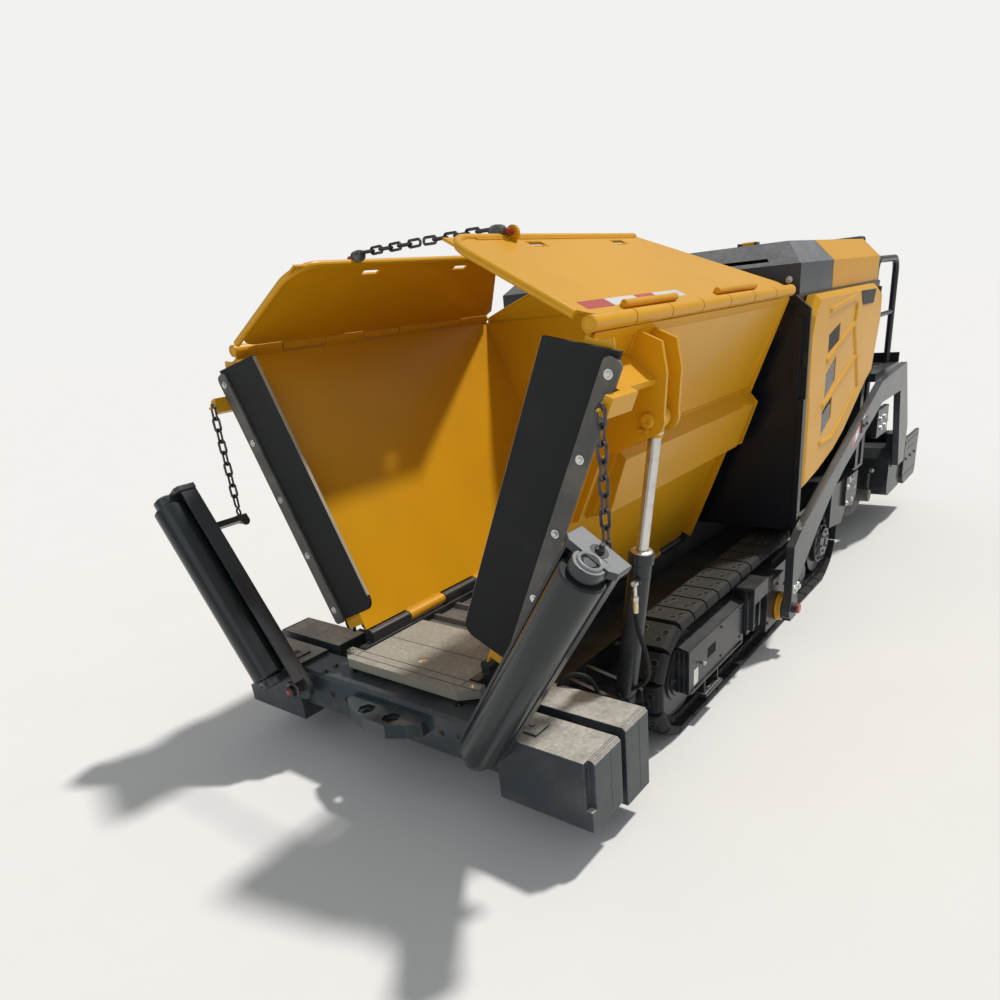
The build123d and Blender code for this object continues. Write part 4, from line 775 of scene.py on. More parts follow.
class PaverPushArms(Pieces, bpy.types.Operator):
    """Bolts, straps, chain eyes and pin nuts of the push roller arms"""

    bl_idname = "paver.push_arms"
    bl_label = "Push roller arms"

    def side(self, side):
        cap = Shape(side)
        cap.bolt(on_arm(0.981, 0.028, -0.306), UP_ARM, 0.015, washer=1.9)
        cap.rod(on_arm(0.99, 0.028, -0.306), on_arm(1.008, 0.028, -0.306), 0.008)
        cap.turned(on_arm(0.975, 0.0386, -0.364), UP_ARM, [(0, 0.020), (0.003, 0.019), (0.003, 0)])
        cap.place("cap_bolt", "arm", "wear_steel", finish="dark_steel")

        # the plate on the cap's top and the strap below carry the lighter grey of the painted sunlit brightness
        face = Shape(side)
        corners = [
            (-0.064, -0.2622), (-0.064, -0.335), (-0.047, -0.350), (0.0, -0.350), (0.0, -0.334), (0.008, -0.322),
            (0.069, -0.322), (0.078, -0.334), (0.078, -0.350), (0.091, -0.350), (0.112, -0.330), (0.112, -0.2622),
        ]
        face.plate([on_arm(0.9808, t, y) for t, y in corners], UP_ARM * 0.0014)
        face.turned(on_arm(0.9752, 0.0386, -0.364), UP_ARM, [(0, 0.034), (0, 0.0485), (0.0012, 0.048), (0.0012, 0.034)])
        face.place("cap_face", "arm", "grey_paint", finish="cap_grey_painted_sunlit")

        strap = Shape(side)
        strap.ring(on_arm(0.979, 0.0386, -0.364), UP_ARM, 0.033, 0.006, steps=20)
        for corners in (
            ((-0.004, -0.352), (0.012, -0.352), (0.030, -0.338), (0.030, -0.322), (0.000, -0.322)),
            ((0.066, -0.352), (0.080, -0.352), (0.080, -0.326), (0.046, -0.326), (0.048, -0.338)),
        ):
            strap.plate([on_arm(0.9755, t, y) for t, y in corners], UP_ARM * 0.008)
        strap.place("journal_strap", "arm", "grey_paint", bevel=0.001, finish="cap_grey_painted_sunlit")

        trim = Shape(side)
        corners = ((0.12, 0.096), (0.955, 0.096), (0.955, 0.101), (0.12, 0.101))
        trim.plate([on_arm(s, t, -0.2865) for s, t in corners], Y * -0.0225)
        for t in (0.02, 0.058):
            trim.bolt(on_arm(0.077, t, -0.412), -Y, 0.005)
        trim.place("arm_trim", "arm", "grey_paint")

        lug = Shape(side)
        lug.turned(at(0.905, HANG_Y, 1.0), X, [(0, 0), (0, 0.019), (0.066, 0.019), (0.071, 0.016), (0.072, 0)])
        lug.place("chain_lug", "arm", "grey_paint")
        eye = Shape(side)
        eye.ring(at(0.95, HANG_Y, 1.036), Y, 0.014, 0.0045, steps=20)
        eye.rod(at(0.95, HANG_Y, 1.012), at(0.95, HANG_Y, 1.024), 0.0065)
        eye.place("chain_eye", "arm", "wear_steel", finish="dark_steel")

        nut = Shape(side)
        front = at(0.497, -0.320, 0.349)
        nut.turned(front, -Y, [(-0.001, 0.041), (0.004, 0.041), (0.006, 0.038), (0.006, 0.0)])
        end = front - Y * 0.026
        nut.rod(front - Y * 0.006, end, 0.029, 0.027, sides=6)
        nut.ring(end, Y, 0.020, 0.003, steps=24)
        nut.place("pivot_nut", "tractor", "wear_steel", finish="dark_steel")
        tip = Shape(side)
        tip.turned(end, -Y, [(0, 0.0135), (0.004, 0.0125), (0.007, 0.008), (0.008, 0)])
        tip.place("pivot_cap", "tractor", "wear_steel", finish="red_paint")


class PaverBeam(Pieces, bpy.types.Operator):
    """Bolts and plates of the push beam, the ballast blocks and the hopper's apron"""

    bl_idname = "paver.beam"
    bl_label = "Push beam and apron"

    def middle(self):
        bolts = Shape()
        for side in (-1, 1):
            for x, y in ((0.418, -0.142), (0.300, -0.142), (0.418, -0.20)):
                bolts.bolt(at(side * x, y, 0.40), Z, 0.010)
            for x in (0.27, 0.36):
                bolts.bolt(at(side * x, -0.23, 0.315), -Y, 0.011)
        bolts.place("beam_bolts", "tractor", "blue_grey_paint", finish="dark_steel")

        seams = Shape()
        for y in (-0.118, -0.075):
            seams.block(at(-0.372, y, 0.4695), at(0.372, y + 0.003, 0.4705))
        for x in (-0.292, 0.292):
            seams.block(at(x - 0.0015, -0.118, 0.4695), at(x + 0.0015, -0.075, 0.4705))
        seams.block(at(-0.289, 0.09, 0.4695), at(0.289, 0.093, 0.4705))
        seams.place("apron_seams", "tractor", "black_plastic", finish="hole")

        plug = Shape()
        plug.turned(
            at(0.009, -0.02, 0.462), Z,
            [(0, 0.021), (0.006, 0.021), (0.007, 0.019), (0.007, 0.006), (0.004, 0.005), (0.004, 0)],
        )
        for x in (-0.34, 0.34):
            plug.bolt(at(x, -0.095, 0.47), Z, 0.008)
        plug.place("apron_plug", "tractor", "beige_paint", finish="zinc")

        rims = Shape()
        for x in (0.07, -0.07):
            rims.turned(at(x, -0.29, 0.346), Z, [(0, 0.027), (0.001, 0.030), (0.001, 0.036), (0, 0.0365)], sides=24)
        rims.place("hook_hole_rims", "tractor", "blue_grey_paint", finish="dark_steel")

    def side(self, side):
        lines = Shape(side)
        for y0, y1, top in ((-0.256, -0.062, 0.415), (-0.028, 0.131, 0.428)):
            for inset in (0.018, 0.026):
                lines.block(at(0.950 - inset, y0 + 0.001, top - 0.0005), at(0.9515 - inset, y1 - 0.001, top + 0.0008))
        lines.block(at(0.9495, -0.131, 0.16), at(0.9508, -0.128, 0.40))
        lines.block(at(0.9495, 0.066, 0.12), at(0.9508, 0.069, 0.41))
        lines.place("block_weld_lines", "tractor", "cast_iron", finish="grey_paint")
        stop = Shape(side)
        stop.block(at(0.61, -0.20, 0.415), at(0.70, -0.12, 0.424))
        stop.bolt(at(0.655, -0.16, 0.424), Z, 0.012)
        stop.place("block_lift_plate", "tractor", "cast_iron", bevel=0.002)


def shoe_places():
    """Centre (y, z) and turn of every track shoe, as in the CAD source."""
    radius = 6 * SHOE_PITCH / math.pi
    places = []
    for i in range(15):
        places.append((IDLER_Y + i * SHOE_PITCH, TRACK_Z + radius, 0.0))
        places.append((SPROCKET_Y - i * SHOE_PITCH, TRACK_Z - radius, math.pi))
    for i in range(6):
        turn = i * math.pi / 6
        places.append((SPROCKET_Y + radius * math.sin(turn), TRACK_Z + radius * math.cos(turn), -turn))
        places.append((IDLER_Y - radius * math.sin(turn), TRACK_Z - radius * math.cos(turn), math.pi - turn))
    return places


class PaverTracks(Pieces, bpy.types.Operator):
    """Painted shade discs in the shoe holes, their worn rims and the link pins of both tracks"""

    bl_idname = "paver.tracks"
    bl_label = "Tracks"

    def side(self, side):
        # near-black discs laid in the shoe holes are painted shade; the rims around them are worn steel
        hole_shades = Shape(side)
        rims = Shape(side)
        pins = Shape(side)
        for y, z, turn in shoe_places():
            out = Vector((0, -math.sin(turn), math.cos(turn)))
            run = Vector((0, math.cos(turn), math.sin(turn)))
            middle = Vector((TRACK_X, y, z))
            if z + out.z * 0.021 > 0.02:
                for x, ahead in ((-0.056, -0.016), (-0.040, 0.022), (0.040, -0.022), (0.056, 0.016)):
                    spot = middle + out * 0.021 + run * ahead + X * x
                    hole_shades.turned(spot, out, [(0.0004, 0.0140), (0.0004, 0)], sides=16)
                    rims.turned(
                        spot, out, [(0.0, 0.0160), (0.0010, 0.0153), (0.0009, 0.0141), (0.0001, 0.0139)], sides=16
                    )
            joint = middle - out * 0.040 + run * (SHOE_PITCH / 2)
            for x in (-0.062, 0.062):
                reach = math.copysign(0.004, x)
                pins.rod(joint + X * (x - reach), joint + X * x, 0.017, 0.015, sides=12)
        hole_shades.place("shoe_holes", "tractor", "black_plastic", finish="hole")
        rims.place("shoe_hole_rims", "tractor", "wear_steel")
        pins.place("link_pins", "tractor", "wear_steel", finish="dark_steel")


class PaverTrackFrames(Pieces, bpy.types.Operator):
    """Fittings, ribs, bolts and steps on the outer sides of the track frames, with painted shade in the step's hole and
    in the side box
    """

    bl_idname = "paver.track_frames"
    bl_label = "Track frames"

    def side(self, side):
        ribs = Shape(side)
        for x in (0.800, 0.822, 0.844):
            ribs.block(at(x, 0.637, 0.205), at(x + 0.008, 0.646, 0.396))
        ribs.block(at(0.862, 0.638, 0.200), at(SIDE_BOX_X + 0.004, 0.650, 0.402))
        ribs.block(at(SIDE_BOX_X - 0.001, 0.65, 0.394), at(SIDE_BOX_X + 0.006, 1.22, 0.402))
        ribs.block(at(SIDE_BOX_X - 0.001, 0.65, 0.198), at(SIDE_BOX_X + 0.008, 1.22, 0.206))
        ribs.place("side_box_ribs", "tractor", "dark_paint", bevel=0.001)

        bright = Shape(side)
        bright.block(at(SIDE_BOX_X - 0.0005, 0.690, 0.220), at(SIDE_BOX_X + 0.0015, 0.735, 0.292))
        bright.rod(at(SIDE_BOX_X, 0.789, 0.285), at(SIDE_BOX_X + 0.012, 0.789, 0.285), 0.008, sides=6)
        bright.rod(at(SIDE_BOX_X + 0.010, 0.785, 0.288), at(SIDE_BOX_X + 0.022, 0.752, 0.302), 0.0065)
        bright.place("side_box_fittings", "tractor", "chrome", finish="white_tape", bevel=0.001)

        bolts = Shape(side)
        for y in (0.98, 1.20):
            for z in (0.235, 0.375):
                bolts.bolt(at(SIDE_BOX_X, y, z), X, 0.006)
        for y, z in ((1.49, 0.19), (1.49, 0.36), (1.61, 0.36), (1.61, 0.19)):
            bolts.bolt(at(0.899, y, z), X, 0.007)
        bolts.place("track_frame_bolts", "tractor", "chrome", finish="dark_steel")

        step = Shape(side)
        step.turned(
            at(0.838, 0.872, 0.1302), Z, [(0.0, 0.026), (0.0012, 0.0245), (0.0012, 0.022), (0, 0.0205)], sides=24
        )
        for y in (0.790, 0.955):
            step.block(at(0.780, y, 0.1295), at(0.878, y + 0.006, 0.1325))
        step.block(at(0.873, 0.790, 0.1295), at(0.879, 0.961, 0.1325))
        step.place("step_trim", "tractor", "dark_paint", finish="zinc")
        # near-black disc in the step's hole and near-black sheet set into the side box: painted shade
        hole = Shape(side)
        hole.turned(at(0.838, 0.872, 0.1304), Z, [(0, 0.0208), (0, 0)], sides=24)
        hole.block(at(SIDE_BOX_X - 0.004, 0.83, 0.285), at(SIDE_BOX_X - 0.003, 0.917, 0.334))
        hole.place("side_box_dark", "tractor", "black_plastic", finish="hole")

        drive = Shape(side)
        centre = Vector((0.8065, SPROCKET_Y, TRACK_Z))
        drive.turned(
            centre, X,
            [(-0.002, 0.128), (0.014, 0.128), (0.018, 0.122), (0.018, 0.092), (0.026, 0.088), (0.034, 0.082),
             (0.0345, 0.03), (0.030, 0.028), (0.030, 0)],
            sides=40,
        )
        drive.bolt_circle(centre + X * 0.018, 0.107, 12, 0.009)
        drive.bolt_circle(centre + X * 0.034, 0.058, 6, 0.007, washer=1.3, first=15)
        drive.place("final_drive", "tractor", "dark_paint", finish="steel_roller")

        idler = Shape(side)
        centre = Vector((0.8065, IDLER_Y, TRACK_Z))
        idler.turned(
            centre, X,
            [(-0.002, 0.10), (0.008, 0.098), (0.010, 0.05), (0.022, 0.048), (0.026, 0.040), (0.026, 0)],
            sides=32,
        )
        idler.bolt_circle(centre + X * 0.009, 0.074, 6, 0.008)
        idler.place("idler_cover", "tractor", "dark_paint")

        disc = Shape(side)
        disc.turned(
            (0.898, *TOW_PIVOT), X,
            [(0.001, 0.0), (0.001, 0.068), (0.005, 0.073), (0.014, 0.073), (0.017, 0.066), (0.024, 0.066),
             (0.027, 0.073), (0.031, 0.071), (0.032, 0.0)],
            sides=36,
        )
        disc.place("tow_disc", "tractor", "yellow_paint")
        tip = Shape(side)
        tip.turned((1.0, *TOW_PIVOT), X, [(-0.004, 0.0255), (0.004, 0.0255), (0.007, 0.022), (0.007, 0)])
        tip.place("tow_pin_cap", "tractor", "wear_steel", finish="red_paint")

        mast = Shape(side)
        mast.block(at(0.823, 1.236, 0.235), at(0.878, 1.2405, 0.455))
        for y in (1.285, 1.36):
            mast.block(at(0.896, y, 0.24), at(0.904, y + 0.010, 0.452))
        mast.place("mast_front", "tractor", "navy_paint", bevel=0.001)
        strip = Shape(side)
        strip.block(at(0.8985, 1.548, 0.375), at(0.9015, 1.628, 0.399))
        strip.place("post_strip", "tractor", "grey_paint", finish="beige_paint")


class PaverDoors(Pieces, bpy.types.Operator):
    """Pressed ribs, louvres and the bare badge plate of the side doors"""

    bl_idname = "paver.doors"
    bl_label = "Side doors"

    def side(self, side):
        ribs = Shape(side)
        for line in (
            ((2.076, 1.362), (2.520, 1.500), (2.545, 1.600)),
            ((2.052, 1.149), (2.470, 1.285), (2.600, 1.334), (2.520, 1.480)),
            ((2.046, 0.968), (2.238, 0.964), (2.440, 1.040), (2.680, 1.160), (2.610, 1.320)),
            ((2.085, 1.590), (2.480, 1.625), (2.545, 1.600)),
        ):
            for a, b in zip(line, line[1:]):
                ribs.rod(on_door(*a, -0.008), on_door(*b, -0.008), 0.017, sides=16)
            for spot in line:
                ribs.turned(
                    on_door(*spot, -0.008), X, [(0.0, 0.017), (0.0085, 0.0147), (0.0147, 0.0085), (0.017, 0)], sides=16
                )
        ribs.place("door_ribs", "door", "yellow_paint")

        louvres = Shape(side)
        for corners in (
            ((2.079, 1.395), (2.254, 1.440), (2.254, 1.524), (2.079, 1.480)),
            ((2.072, 1.180), (2.224, 1.250), (2.224, 1.370), (2.072, 1.300)),
            ((2.050, 1.000), (2.201, 1.070), (2.201, 1.190), (2.050, 1.120)),
        ):
            louvres.plate([on_door(y, z, -0.0095) for y, z in corners], (0.001, 0, 0))
            (y0, z0), (y1, z1), _, (_, top) = corners
            for i in range(9):
                rise = (top - z0) * (i + 0.5) / 9
                low, high = rise - 0.003, rise + 0.001
                front, rear = y0 + 0.003, y1 - 0.003
                slat = ((front, z0 + low), (rear, z1 + low), (rear, z1 + high), (front, z0 + high))
                louvres.plate([on_door(y, z, -0.009) for y, z in slat], (0.007, 0, -0.003))
        louvres.place("door_louvres", "door", "black_plastic")

        plate = Shape(side)
        corners = [(2.604, 1.650), (2.905, 1.645), (2.868, 1.575), (2.655, 1.578)]
        plate.plate([on_door(y, z, -0.002) for y, z in corners], (0.005, 0, 0))
        plate.place("bare_badge_plate", "door", "black_plastic", bevel=0.002)

        latch = Shape(side)
        for z in (1.05, 1.40):
            latch.block((0.905, -0.298, z - 0.03), (0.922, -0.292, z + 0.03))
            latch.bolt((0.9135, -0.2975, z), -Y, 0.006)
        latch.place("door_latches", "door", "black_plastic", bevel=0.001)


class PaverHoods(Pieces, bpy.types.Operator):
    """Bolts, seams, grille and grabs of both hoods, and the plate that closes the hopper above its rear"""

    bl_idname = "paver.hoods"
    bl_label = "Hoods and front wall"

    def middle(self):
        bolts = Shape()
        for side in (-1, 1):
            bolts.bolt((side * 0.80, -0.216, 1.745), -Y, 0.009)
            bolts.bolt((side * 0.20, -0.216, 1.745), -Y, 0.009)
        bolts.place("hood_bolts", "tractor", "chrome", finish="zinc")

        gable = Shape()
        slope = [(0.852, 1.695), (0.70, 1.75), (0.52, 1.81), (0.40, 1.85), (0.30, 1.875)]
        outline = [(-0.845, 1.64), *[(-x, z) for x, z in slope], *slope[::-1], (0.845, 1.64)]
        gable.plate([Vector((x, -0.376, z)) for x, z in outline], (0, 0.006, 0))
        for (x0, z0), (x1, z1) in zip(outline[1:-2], outline[2:-1]):
            gable.rod((x0, -0.372, z0), (x1, -0.372, z1), 0.007, sides=12)
        for x in (-0.70, -0.25, 0.25, 0.70):
            gable.block((x - 0.03, -0.371, 1.645), (x + 0.03, -0.294, 1.653))
            gable.block((x - 0.003, -0.371, 1.60), (x + 0.003, -0.294, 1.70))
            gable.bolt((x, -0.376, 1.67), -Y, 0.008)
        gable.place("hopper_gable", "tractor", "yellow_paint", bevel=0.001)

        seams = Shape()
        for x in (-0.52, 0.52):
            seams.block((x - 0.0015, -0.09, 1.9095), (x + 0.0015, 0.27, 1.9105))
        seams.block((-0.74, 0.225, 1.9095), (0.74, 0.228, 1.9105))
        seams.place("hood_seams", "tractor", "black_plastic", finish="hole")

        grille = Shape()
        for i in range(16):
            y = 0.55 + 0.018 * i
            grille.block((-0.34, y, 1.909), (0.34, y + 0.007, 1.916))
        grille.block((-0.345, 0.54, 1.9085), (0.345, 0.85, 1.9105))
        grille.place("hood_grille", "hood_body", "black_plastic", bevel=0.001)
        grab = Shape()
        for x in (-0.30, 0.30):
            grab.rod((x - 0.08, 1.10, 1.935), (x + 0.08, 1.10, 1.935), 0.009)
            for end in (-0.08, 0.08):
                grab.rod((x + end, 1.10, 1.905), (x + end, 1.10, 1.935), 0.009)
        grab.place("hood_grabs", "hood_body", "yellow_paint", finish="black_plastic", bevel=0.002)


class PaverTowArms(Pieces, bpy.types.Operator):
    """Brackets, bolts and tape of the tow arms, and the bolts of the guards behind them"""

    bl_idname = "paver.tow_arms"
    bl_label = "Tow arms"

    def side(self, side):
        fittings = Shape(side)
        for y, z in ((3.107, 0.905), (3.127, 0.849), (3.207, 0.905), (3.227, 0.849), (1.64, 0.33), (1.69, 0.33)):
            fittings.bolt(at(TOW_ARM_X, y, z), X, 0.014)
        fittings.place("tow_arm_bolts", "lift_frame", "chrome", finish="zinc")
        box = Shape(side)
        box.block(at(0.945, 2.667, 0.905), at(TOW_ARM_X + 0.006, 2.803, 0.975))
        box.bolt(at(TOW_ARM_X + 0.006, 2.70, 0.94), X, 0.009)
        box.bolt(at(TOW_ARM_X + 0.006, 2.77, 0.94), X, 0.009)
        box.block(at(0.950, 3.04, 0.80), at(TOW_ARM_X + 0.004, 3.30, 0.965))
        box.place("tow_arm_brackets", "lift_frame", "dark_paint", bevel=0.003)
        for colour, runs in (("red_tape", (2.50, 2.62)), ("white_tape", (2.56, 2.68))):
            tape = Shape(side)
            for start in runs:
                low = 0.845 + (start - 2.50) * 0.45
                corners = ((start, low), (start + 0.06, low + 0.027), (start + 0.06, low + 0.072), (start, low + 0.045))
                tape.plate([at(TOW_ARM_X - 0.0002, y, z) for y, z in corners], X * 0.0008)
            tape.place("tow_arm_" + colour, "lift_frame", "grey_paint", finish=colour)

        guard = Shape(side)
        for y, z in ((2.83, 0.45), (2.83, 0.55), (2.93, 0.45), (2.98, 0.52), (2.93, 0.585), (2.87, 0.585)):
            guard.bolt(at(0.896, y, z), X, 0.009)
        guard.place("guard_bolts", "tractor", "chrome", finish="zinc")


class PaverScreed(Pieces, bpy.types.Operator):
    """Walkway, depth screws, bolts and side gates of the screed"""

    bl_idname = "paver.screed"
    bl_label = "Screed"

    def middle(self):
        bolts = Shape()
        for i in range(12):
            x = -0.825 + 0.15 * i
            bolts.bolt((x, 1.67, 0.44), -Y, 0.010)
        bolts.place("screed_front_bolts", "lift_frame", "chrome", finish="zinc")

    def side(self, side):
        tread = Shape(side)
        tread.block((0.05, 2.12, 0.5345), (0.86, 2.44, 0.541))
        for i in range(9):
            for j in range(4):
                spot = Vector((0.10 + 0.09 * i, 2.16 + 0.08 * j, 0.541))
                tread.rod(spot - Vector((0.018, 0.012, 0)), spot + Vector((0.018, 0.012, 0)), 0.003, sides=6)
        tread.place("screed_tread", "extension", "dark_paint", bevel=0.001)

        screw = Shape(side)
        for x in (0.35, 0.70):
            screw.rod((x, 2.40, 0.53), (x, 2.40, 0.66), 0.012)
            screw.turned((x, 2.40, 0.60), Z, [(0, 0.012), (0, 0.022), (0.02, 0.022), (0.02, 0.012)], sides=6)
            screw.ring((x, 2.40, 0.66), Z, 0.045, 0.006, steps=28)
            screw.rod((x - 0.045, 2.40, 0.66), (x + 0.045, 2.40, 0.66), 0.005)
        screw.place("depth_screws", "extension", "chrome", finish="zinc")

        gate = Shape(side)
        gate.block((0.948, 2.06, 0.30), (0.953, 2.48, 0.315))
        gate.block((0.948, 2.06, 0.54), (0.953, 2.48, 0.555))
        for y in (2.12, 2.26, 2.40):
            gate.bolt((0.948, y, 0.43), X, 0.011)
        gate.rod((0.9495, 2.15, 0.50), (0.9495, 2.37, 0.50), 0.0035)
        gate.place("side_gate", "extension", "dark_paint", bevel=0.001)


def cushion(name, low, high, channels):
    """A seat pad: crowned, its sides pulled in, with sewn channels across it."""
    crown = 0.02
    low, high = Vector(low), Vector(high)
    middle, half = (low + high) / 2, (high - low) / 2
    shape = Shape()
    bmesh.ops.create_cube(shape.bm, size=2, matrix=Matrix.Translation(middle) @ Matrix.Diagonal((*half, 1)))
    bmesh.ops.subdivide_edges(shape.bm, edges=shape.bm.edges[:], cuts=9, use_grid_fill=True)
    thin = min(range(3), key=lambda i: half[i])
    wide = [i for i in range(3) if i != thin]
    for v in shape.bm.verts:
        u, w = ((v.co[i] - middle[i]) / half[i] for i in wide)
        up = (v.co[thin] - middle[thin]) / half[thin]
        swell = (1 - u * u) * (1 - w * w)
        v.co[thin] += up * crown * (swell ** 0.5 - 0.7)
        for i, own in zip(wide, (u, w)):
            v.co[i] -= own * abs(up) ** 2 * half[i] * 0.05
        if abs(up) > 0.9 and any(abs(w - c) < 0.06 for c in channels) and abs(u) < 0.9:
            v.co[thin] -= up * 0.010
    piece = shape.place(name, "tractor", "rubber", finish="seat_cover")
    round_up = piece.modifiers.new("smooth", "SUBSURF")
    round_up.levels = round_up.render_levels = 1


class PaverStation(Pieces, bpy.types.Operator):
    """Operator's seats, wheel, levers and panel"""

    bl_idname = "paver.station"
    bl_label = "Operator's station"

    def middle(self):
        z = PLATFORM_Z
        seat_y = 1.624
        rack = Shape()
        rack.block((-0.57, seat_y - 0.04, z), (0.57, seat_y + 0.04, z + 0.06))
        for x in (-0.42, 0.42):
            rack.rod((x, seat_y, z + 0.05), (x, seat_y, z + 0.34), 0.06)
            for i in range(5):
                rack.ring((x, seat_y, z + 0.12 + 0.035 * i), Z, 0.062, 0.010, steps=28)
            rack.block((x - 0.20, seat_y - 0.16, z + 0.335), (x + 0.20, seat_y + 0.13, z + 0.365))
            back = ((0.10, 0.34), (0.16, 0.36), (0.175, 0.76), (0.155, 0.77))
            rack.plate([(x - 0.19, seat_y + behind, z + above) for behind, above in back], X * 0.38)
        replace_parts(rack.place("seat_frame", "tractor", "black_plastic", bevel=0.004), "seats")
        for side in SIDES:
            x = 0.42 * mirror(side)
            for label, half, front, rear, low, high, channels in (
                ("seat_pad", 0.225, -0.18, 0.12, 0.36, 0.45, (-0.35, 0.35)),
                ("back_pad", 0.215, 0.07, 0.145, 0.44, 0.79, (-0.4, 0.1)),
            ):
                corners = (x - half, seat_y + front, z + low), (x + half, seat_y + rear, z + high)
                cushion(sided(label, side), *corners, channels)

        wheel = Shape()
        hub = Vector((0.42, 1.30, z + 0.70))
        lean = Vector((0, 0.35, 0.94))
        wheel.ring(hub, lean, 0.15, 0.012, steps=40, round_of=10)
        wheel.turned(hub, lean, [(-0.03, 0.03), (0.0, 0.045), (0.012, 0.035), (0.015, 0)])
        flat = lean.normalized().orthogonal()
        for i in range(3):
            spoke = Matrix.Rotation(math.radians(120 * i), 3, lean.normalized()) @ flat
            wheel.rod(hub, hub + spoke * 0.148, 0.008)
        wheel.rod(hub, Vector((0.42, 1.262, z + 0.56)), 0.022)
        wheel.place("steering_wheel", "tractor", "black_plastic")

        panel = Shape()
        lean_panel = Vector((0, 0.61, 0.79))
        for x in (-0.25, 0.25):
            base = Vector((x, 1.36, z + 0.571))
            corners = ((-0.20, -0.05), (0.20, -0.05), (0.20, 0.045), (-0.20, 0.045))
            panel.plate([base + Vector((dx, dy, -dy * 0.77)) for dx, dy in corners], lean_panel * 0.006)
        panel.place("control_panels", "tractor", "black_plastic", bevel=0.003)
        knobs = Shape()
        for x in (-0.25, 0.25):
            for i in range(7):
                spot = Vector((x - 0.165 + 0.055 * i, 1.352, z + 0.577)) + lean_panel * 0.006
                knobs.rod(spot, spot + lean_panel * 0.018, 0.007, 0.006, sides=12)
                low = spot + Vector((0, 0.032, -0.025))
                knobs.turned(low, lean_panel, [(0, 0.010), (0.006, 0.010), (0.008, 0.008), (0.008, 0)], sides=14)
        knobs.place("panel_switches", "tractor", "chrome", finish="zinc")
        levers = Shape()
        for x in (-0.05, 0.05):
            levers.rod((x, 1.33, z + 0.56), (x, 1.38, z + 0.70), 0.007)
            levers.turned(
                (x, 1.38, z + 0.69), (0, 0.3, 1),
                [(0, 0.010), (0.01, 0.019), (0.035, 0.022), (0.055, 0.014), (0.06, 0)], sides=18,
            )
        levers.place("drive_levers", "tractor", "black_plastic")

        mats = Shape()
        for i in range(10):
            for j in range(24):
                spot = Vector((-0.80 + 0.0695 * j, 1.255 + 0.055 * i, z))
                lean_x = 0.014 if (i + j) % 2 else -0.014
                mats.rod(spot - Vector((lean_x, 0.008, 0)), spot + Vector((lean_x, 0.008, 0)), 0.0025, sides=6)
        mats.place("platform_tread", "tractor", "dark_paint")


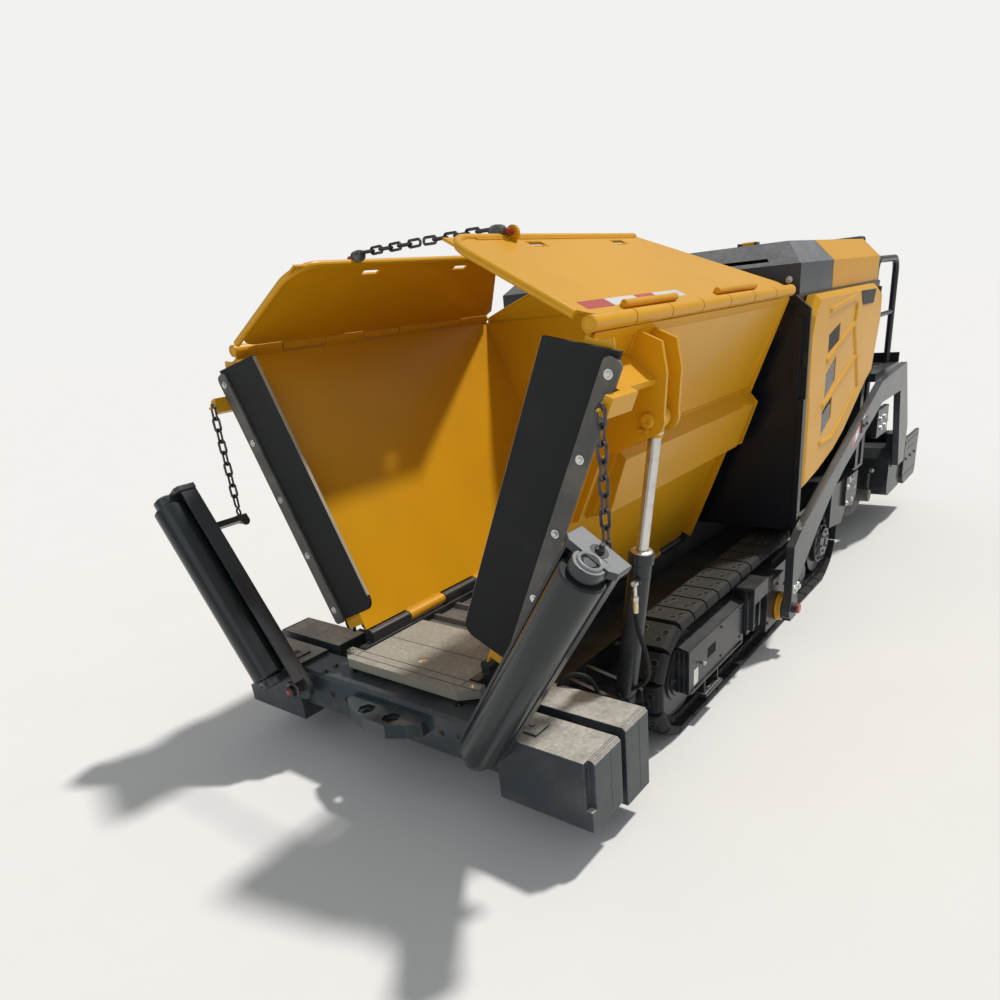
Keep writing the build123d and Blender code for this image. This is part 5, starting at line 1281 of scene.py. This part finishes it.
class PaverStage(bpy.types.Operator):
    """Floor, sky, two suns and the camera"""

    bl_idname = "paver.stage"
    bl_label = "Stage and camera"

    def execute(self, context):
        bm = bmesh.new()
        bmesh.ops.create_grid(bm, x_segments=1, y_segments=1, size=FLOOR_SIZE)
        mesh = bpy.data.meshes.new("floor")
        bm.to_mesh(mesh)
        bm.free()
        floor = bpy.data.objects.new("floor", mesh)
        context.collection.objects.link(floor)
        f = Finish("floor", Roughness=0.95, Specular_IOR_Level=0.0)
        speck = f.noise(2.0, 6.0)
        f.set("Base Color", f.mix(speck, (0.735, 0.732, 0.725), (0.765, 0.762, 0.755)))
        mesh.materials.append(f.material)

        world = bpy.data.worlds.new("sky")
        world.use_nodes = True
        context.scene.world = world
        nodes, links = world.node_tree.nodes, world.node_tree.links
        nodes["Background"].inputs["Color"].default_value = SKY
        nodes["Background"].inputs["Strength"].default_value = SKY_STRENGTH
        white = nodes.new("ShaderNodeBackground")
        white.inputs["Color"].default_value = BACKDROP
        rays = nodes.new("ShaderNodeLightPath")
        mixed = nodes.new("ShaderNodeMixShader")
        links.new(rays.outputs["Is Camera Ray"], mixed.inputs[0])
        links.new(nodes["Background"].outputs[0], mixed.inputs[1])
        links.new(white.outputs[0], mixed.inputs[2])
        links.new(mixed.outputs[0], nodes["World Output"].inputs[0])

        for name, towards, strength, width, colour in SUNS:
            light = bpy.data.lights.new(name, "SUN")
            light.energy = strength
            light.angle = math.radians(width)
            light.color = colour
            lamp = bpy.data.objects.new(name, light)
            lamp.rotation_euler = (-Vector(towards)).to_track_quat("-Z", "Y").to_euler()
            context.collection.objects.link(lamp)

        camera = bpy.data.objects.new("camera", bpy.data.cameras.new("camera"))
        axes = (CAMERA_RIGHT, CAMERA_UP, CAMERA_RIGHT.cross(CAMERA_UP))
        camera.matrix_world = Matrix.Translation(at(*CAMERA_SPOT)) @ Matrix(axes).transposed().to_4x4()
        camera.data.sensor_width = CAMERA_SENSOR
        camera.data.lens = CAMERA_LENS
        camera.data.shift_x, camera.data.shift_y = CAMERA_SHIFT
        camera.data.clip_end = CAMERA_REACH
        context.collection.objects.link(camera)
        context.scene.camera = camera
        context.scene.view_settings.view_transform = "Standard"
        return {"FINISHED"}


OPERATORS = [
    PaverFinishes, PaverWings, PaverFlaps, PaverChains, PaverCylinders, PaverPushArms, PaverBeam, PaverTracks,
    PaverTrackFrames, PaverDoors, PaverHoods, PaverTowArms, PaverScreed, PaverStation, PaverStage,
]


class PaverPanel(bpy.types.Panel):
    """Lists the pieces in the 3D view's sidebar"""

    bl_idname = "VIEW3D_PT_paver"
    bl_label = "Paver"
    bl_space_type = "VIEW_3D"
    bl_region_type = "UI"
    bl_category = "Paver"

    def draw(self, context):
        for group in (context.scene.paver_colours, context.scene.paver_sizes):
            for key in type(group).__annotations__:
                self.layout.prop(group, key)
        for operator in OPERATORS:
            self.layout.operator(operator.bl_idname)


CLASSES = [PaverColours, PaverSizes, *OPERATORS, PaverPanel]


def register():
    for cls in CLASSES:
        bpy.utils.register_class(cls)
    bpy.types.Scene.paver_colours = bpy.props.PointerProperty(type=PaverColours)
    bpy.types.Scene.paver_sizes = bpy.props.PointerProperty(type=PaverSizes)


def unregister():
    del bpy.types.Scene.paver_sizes
    del bpy.types.Scene.paver_colours
    for cls in reversed(CLASSES):
        bpy.utils.unregister_class(cls)


def main():
    register()
    for operator in OPERATORS:
        getattr(bpy.ops.paver, operator.bl_idname.split(".")[1])()


if __name__ == "__main__":
    main()
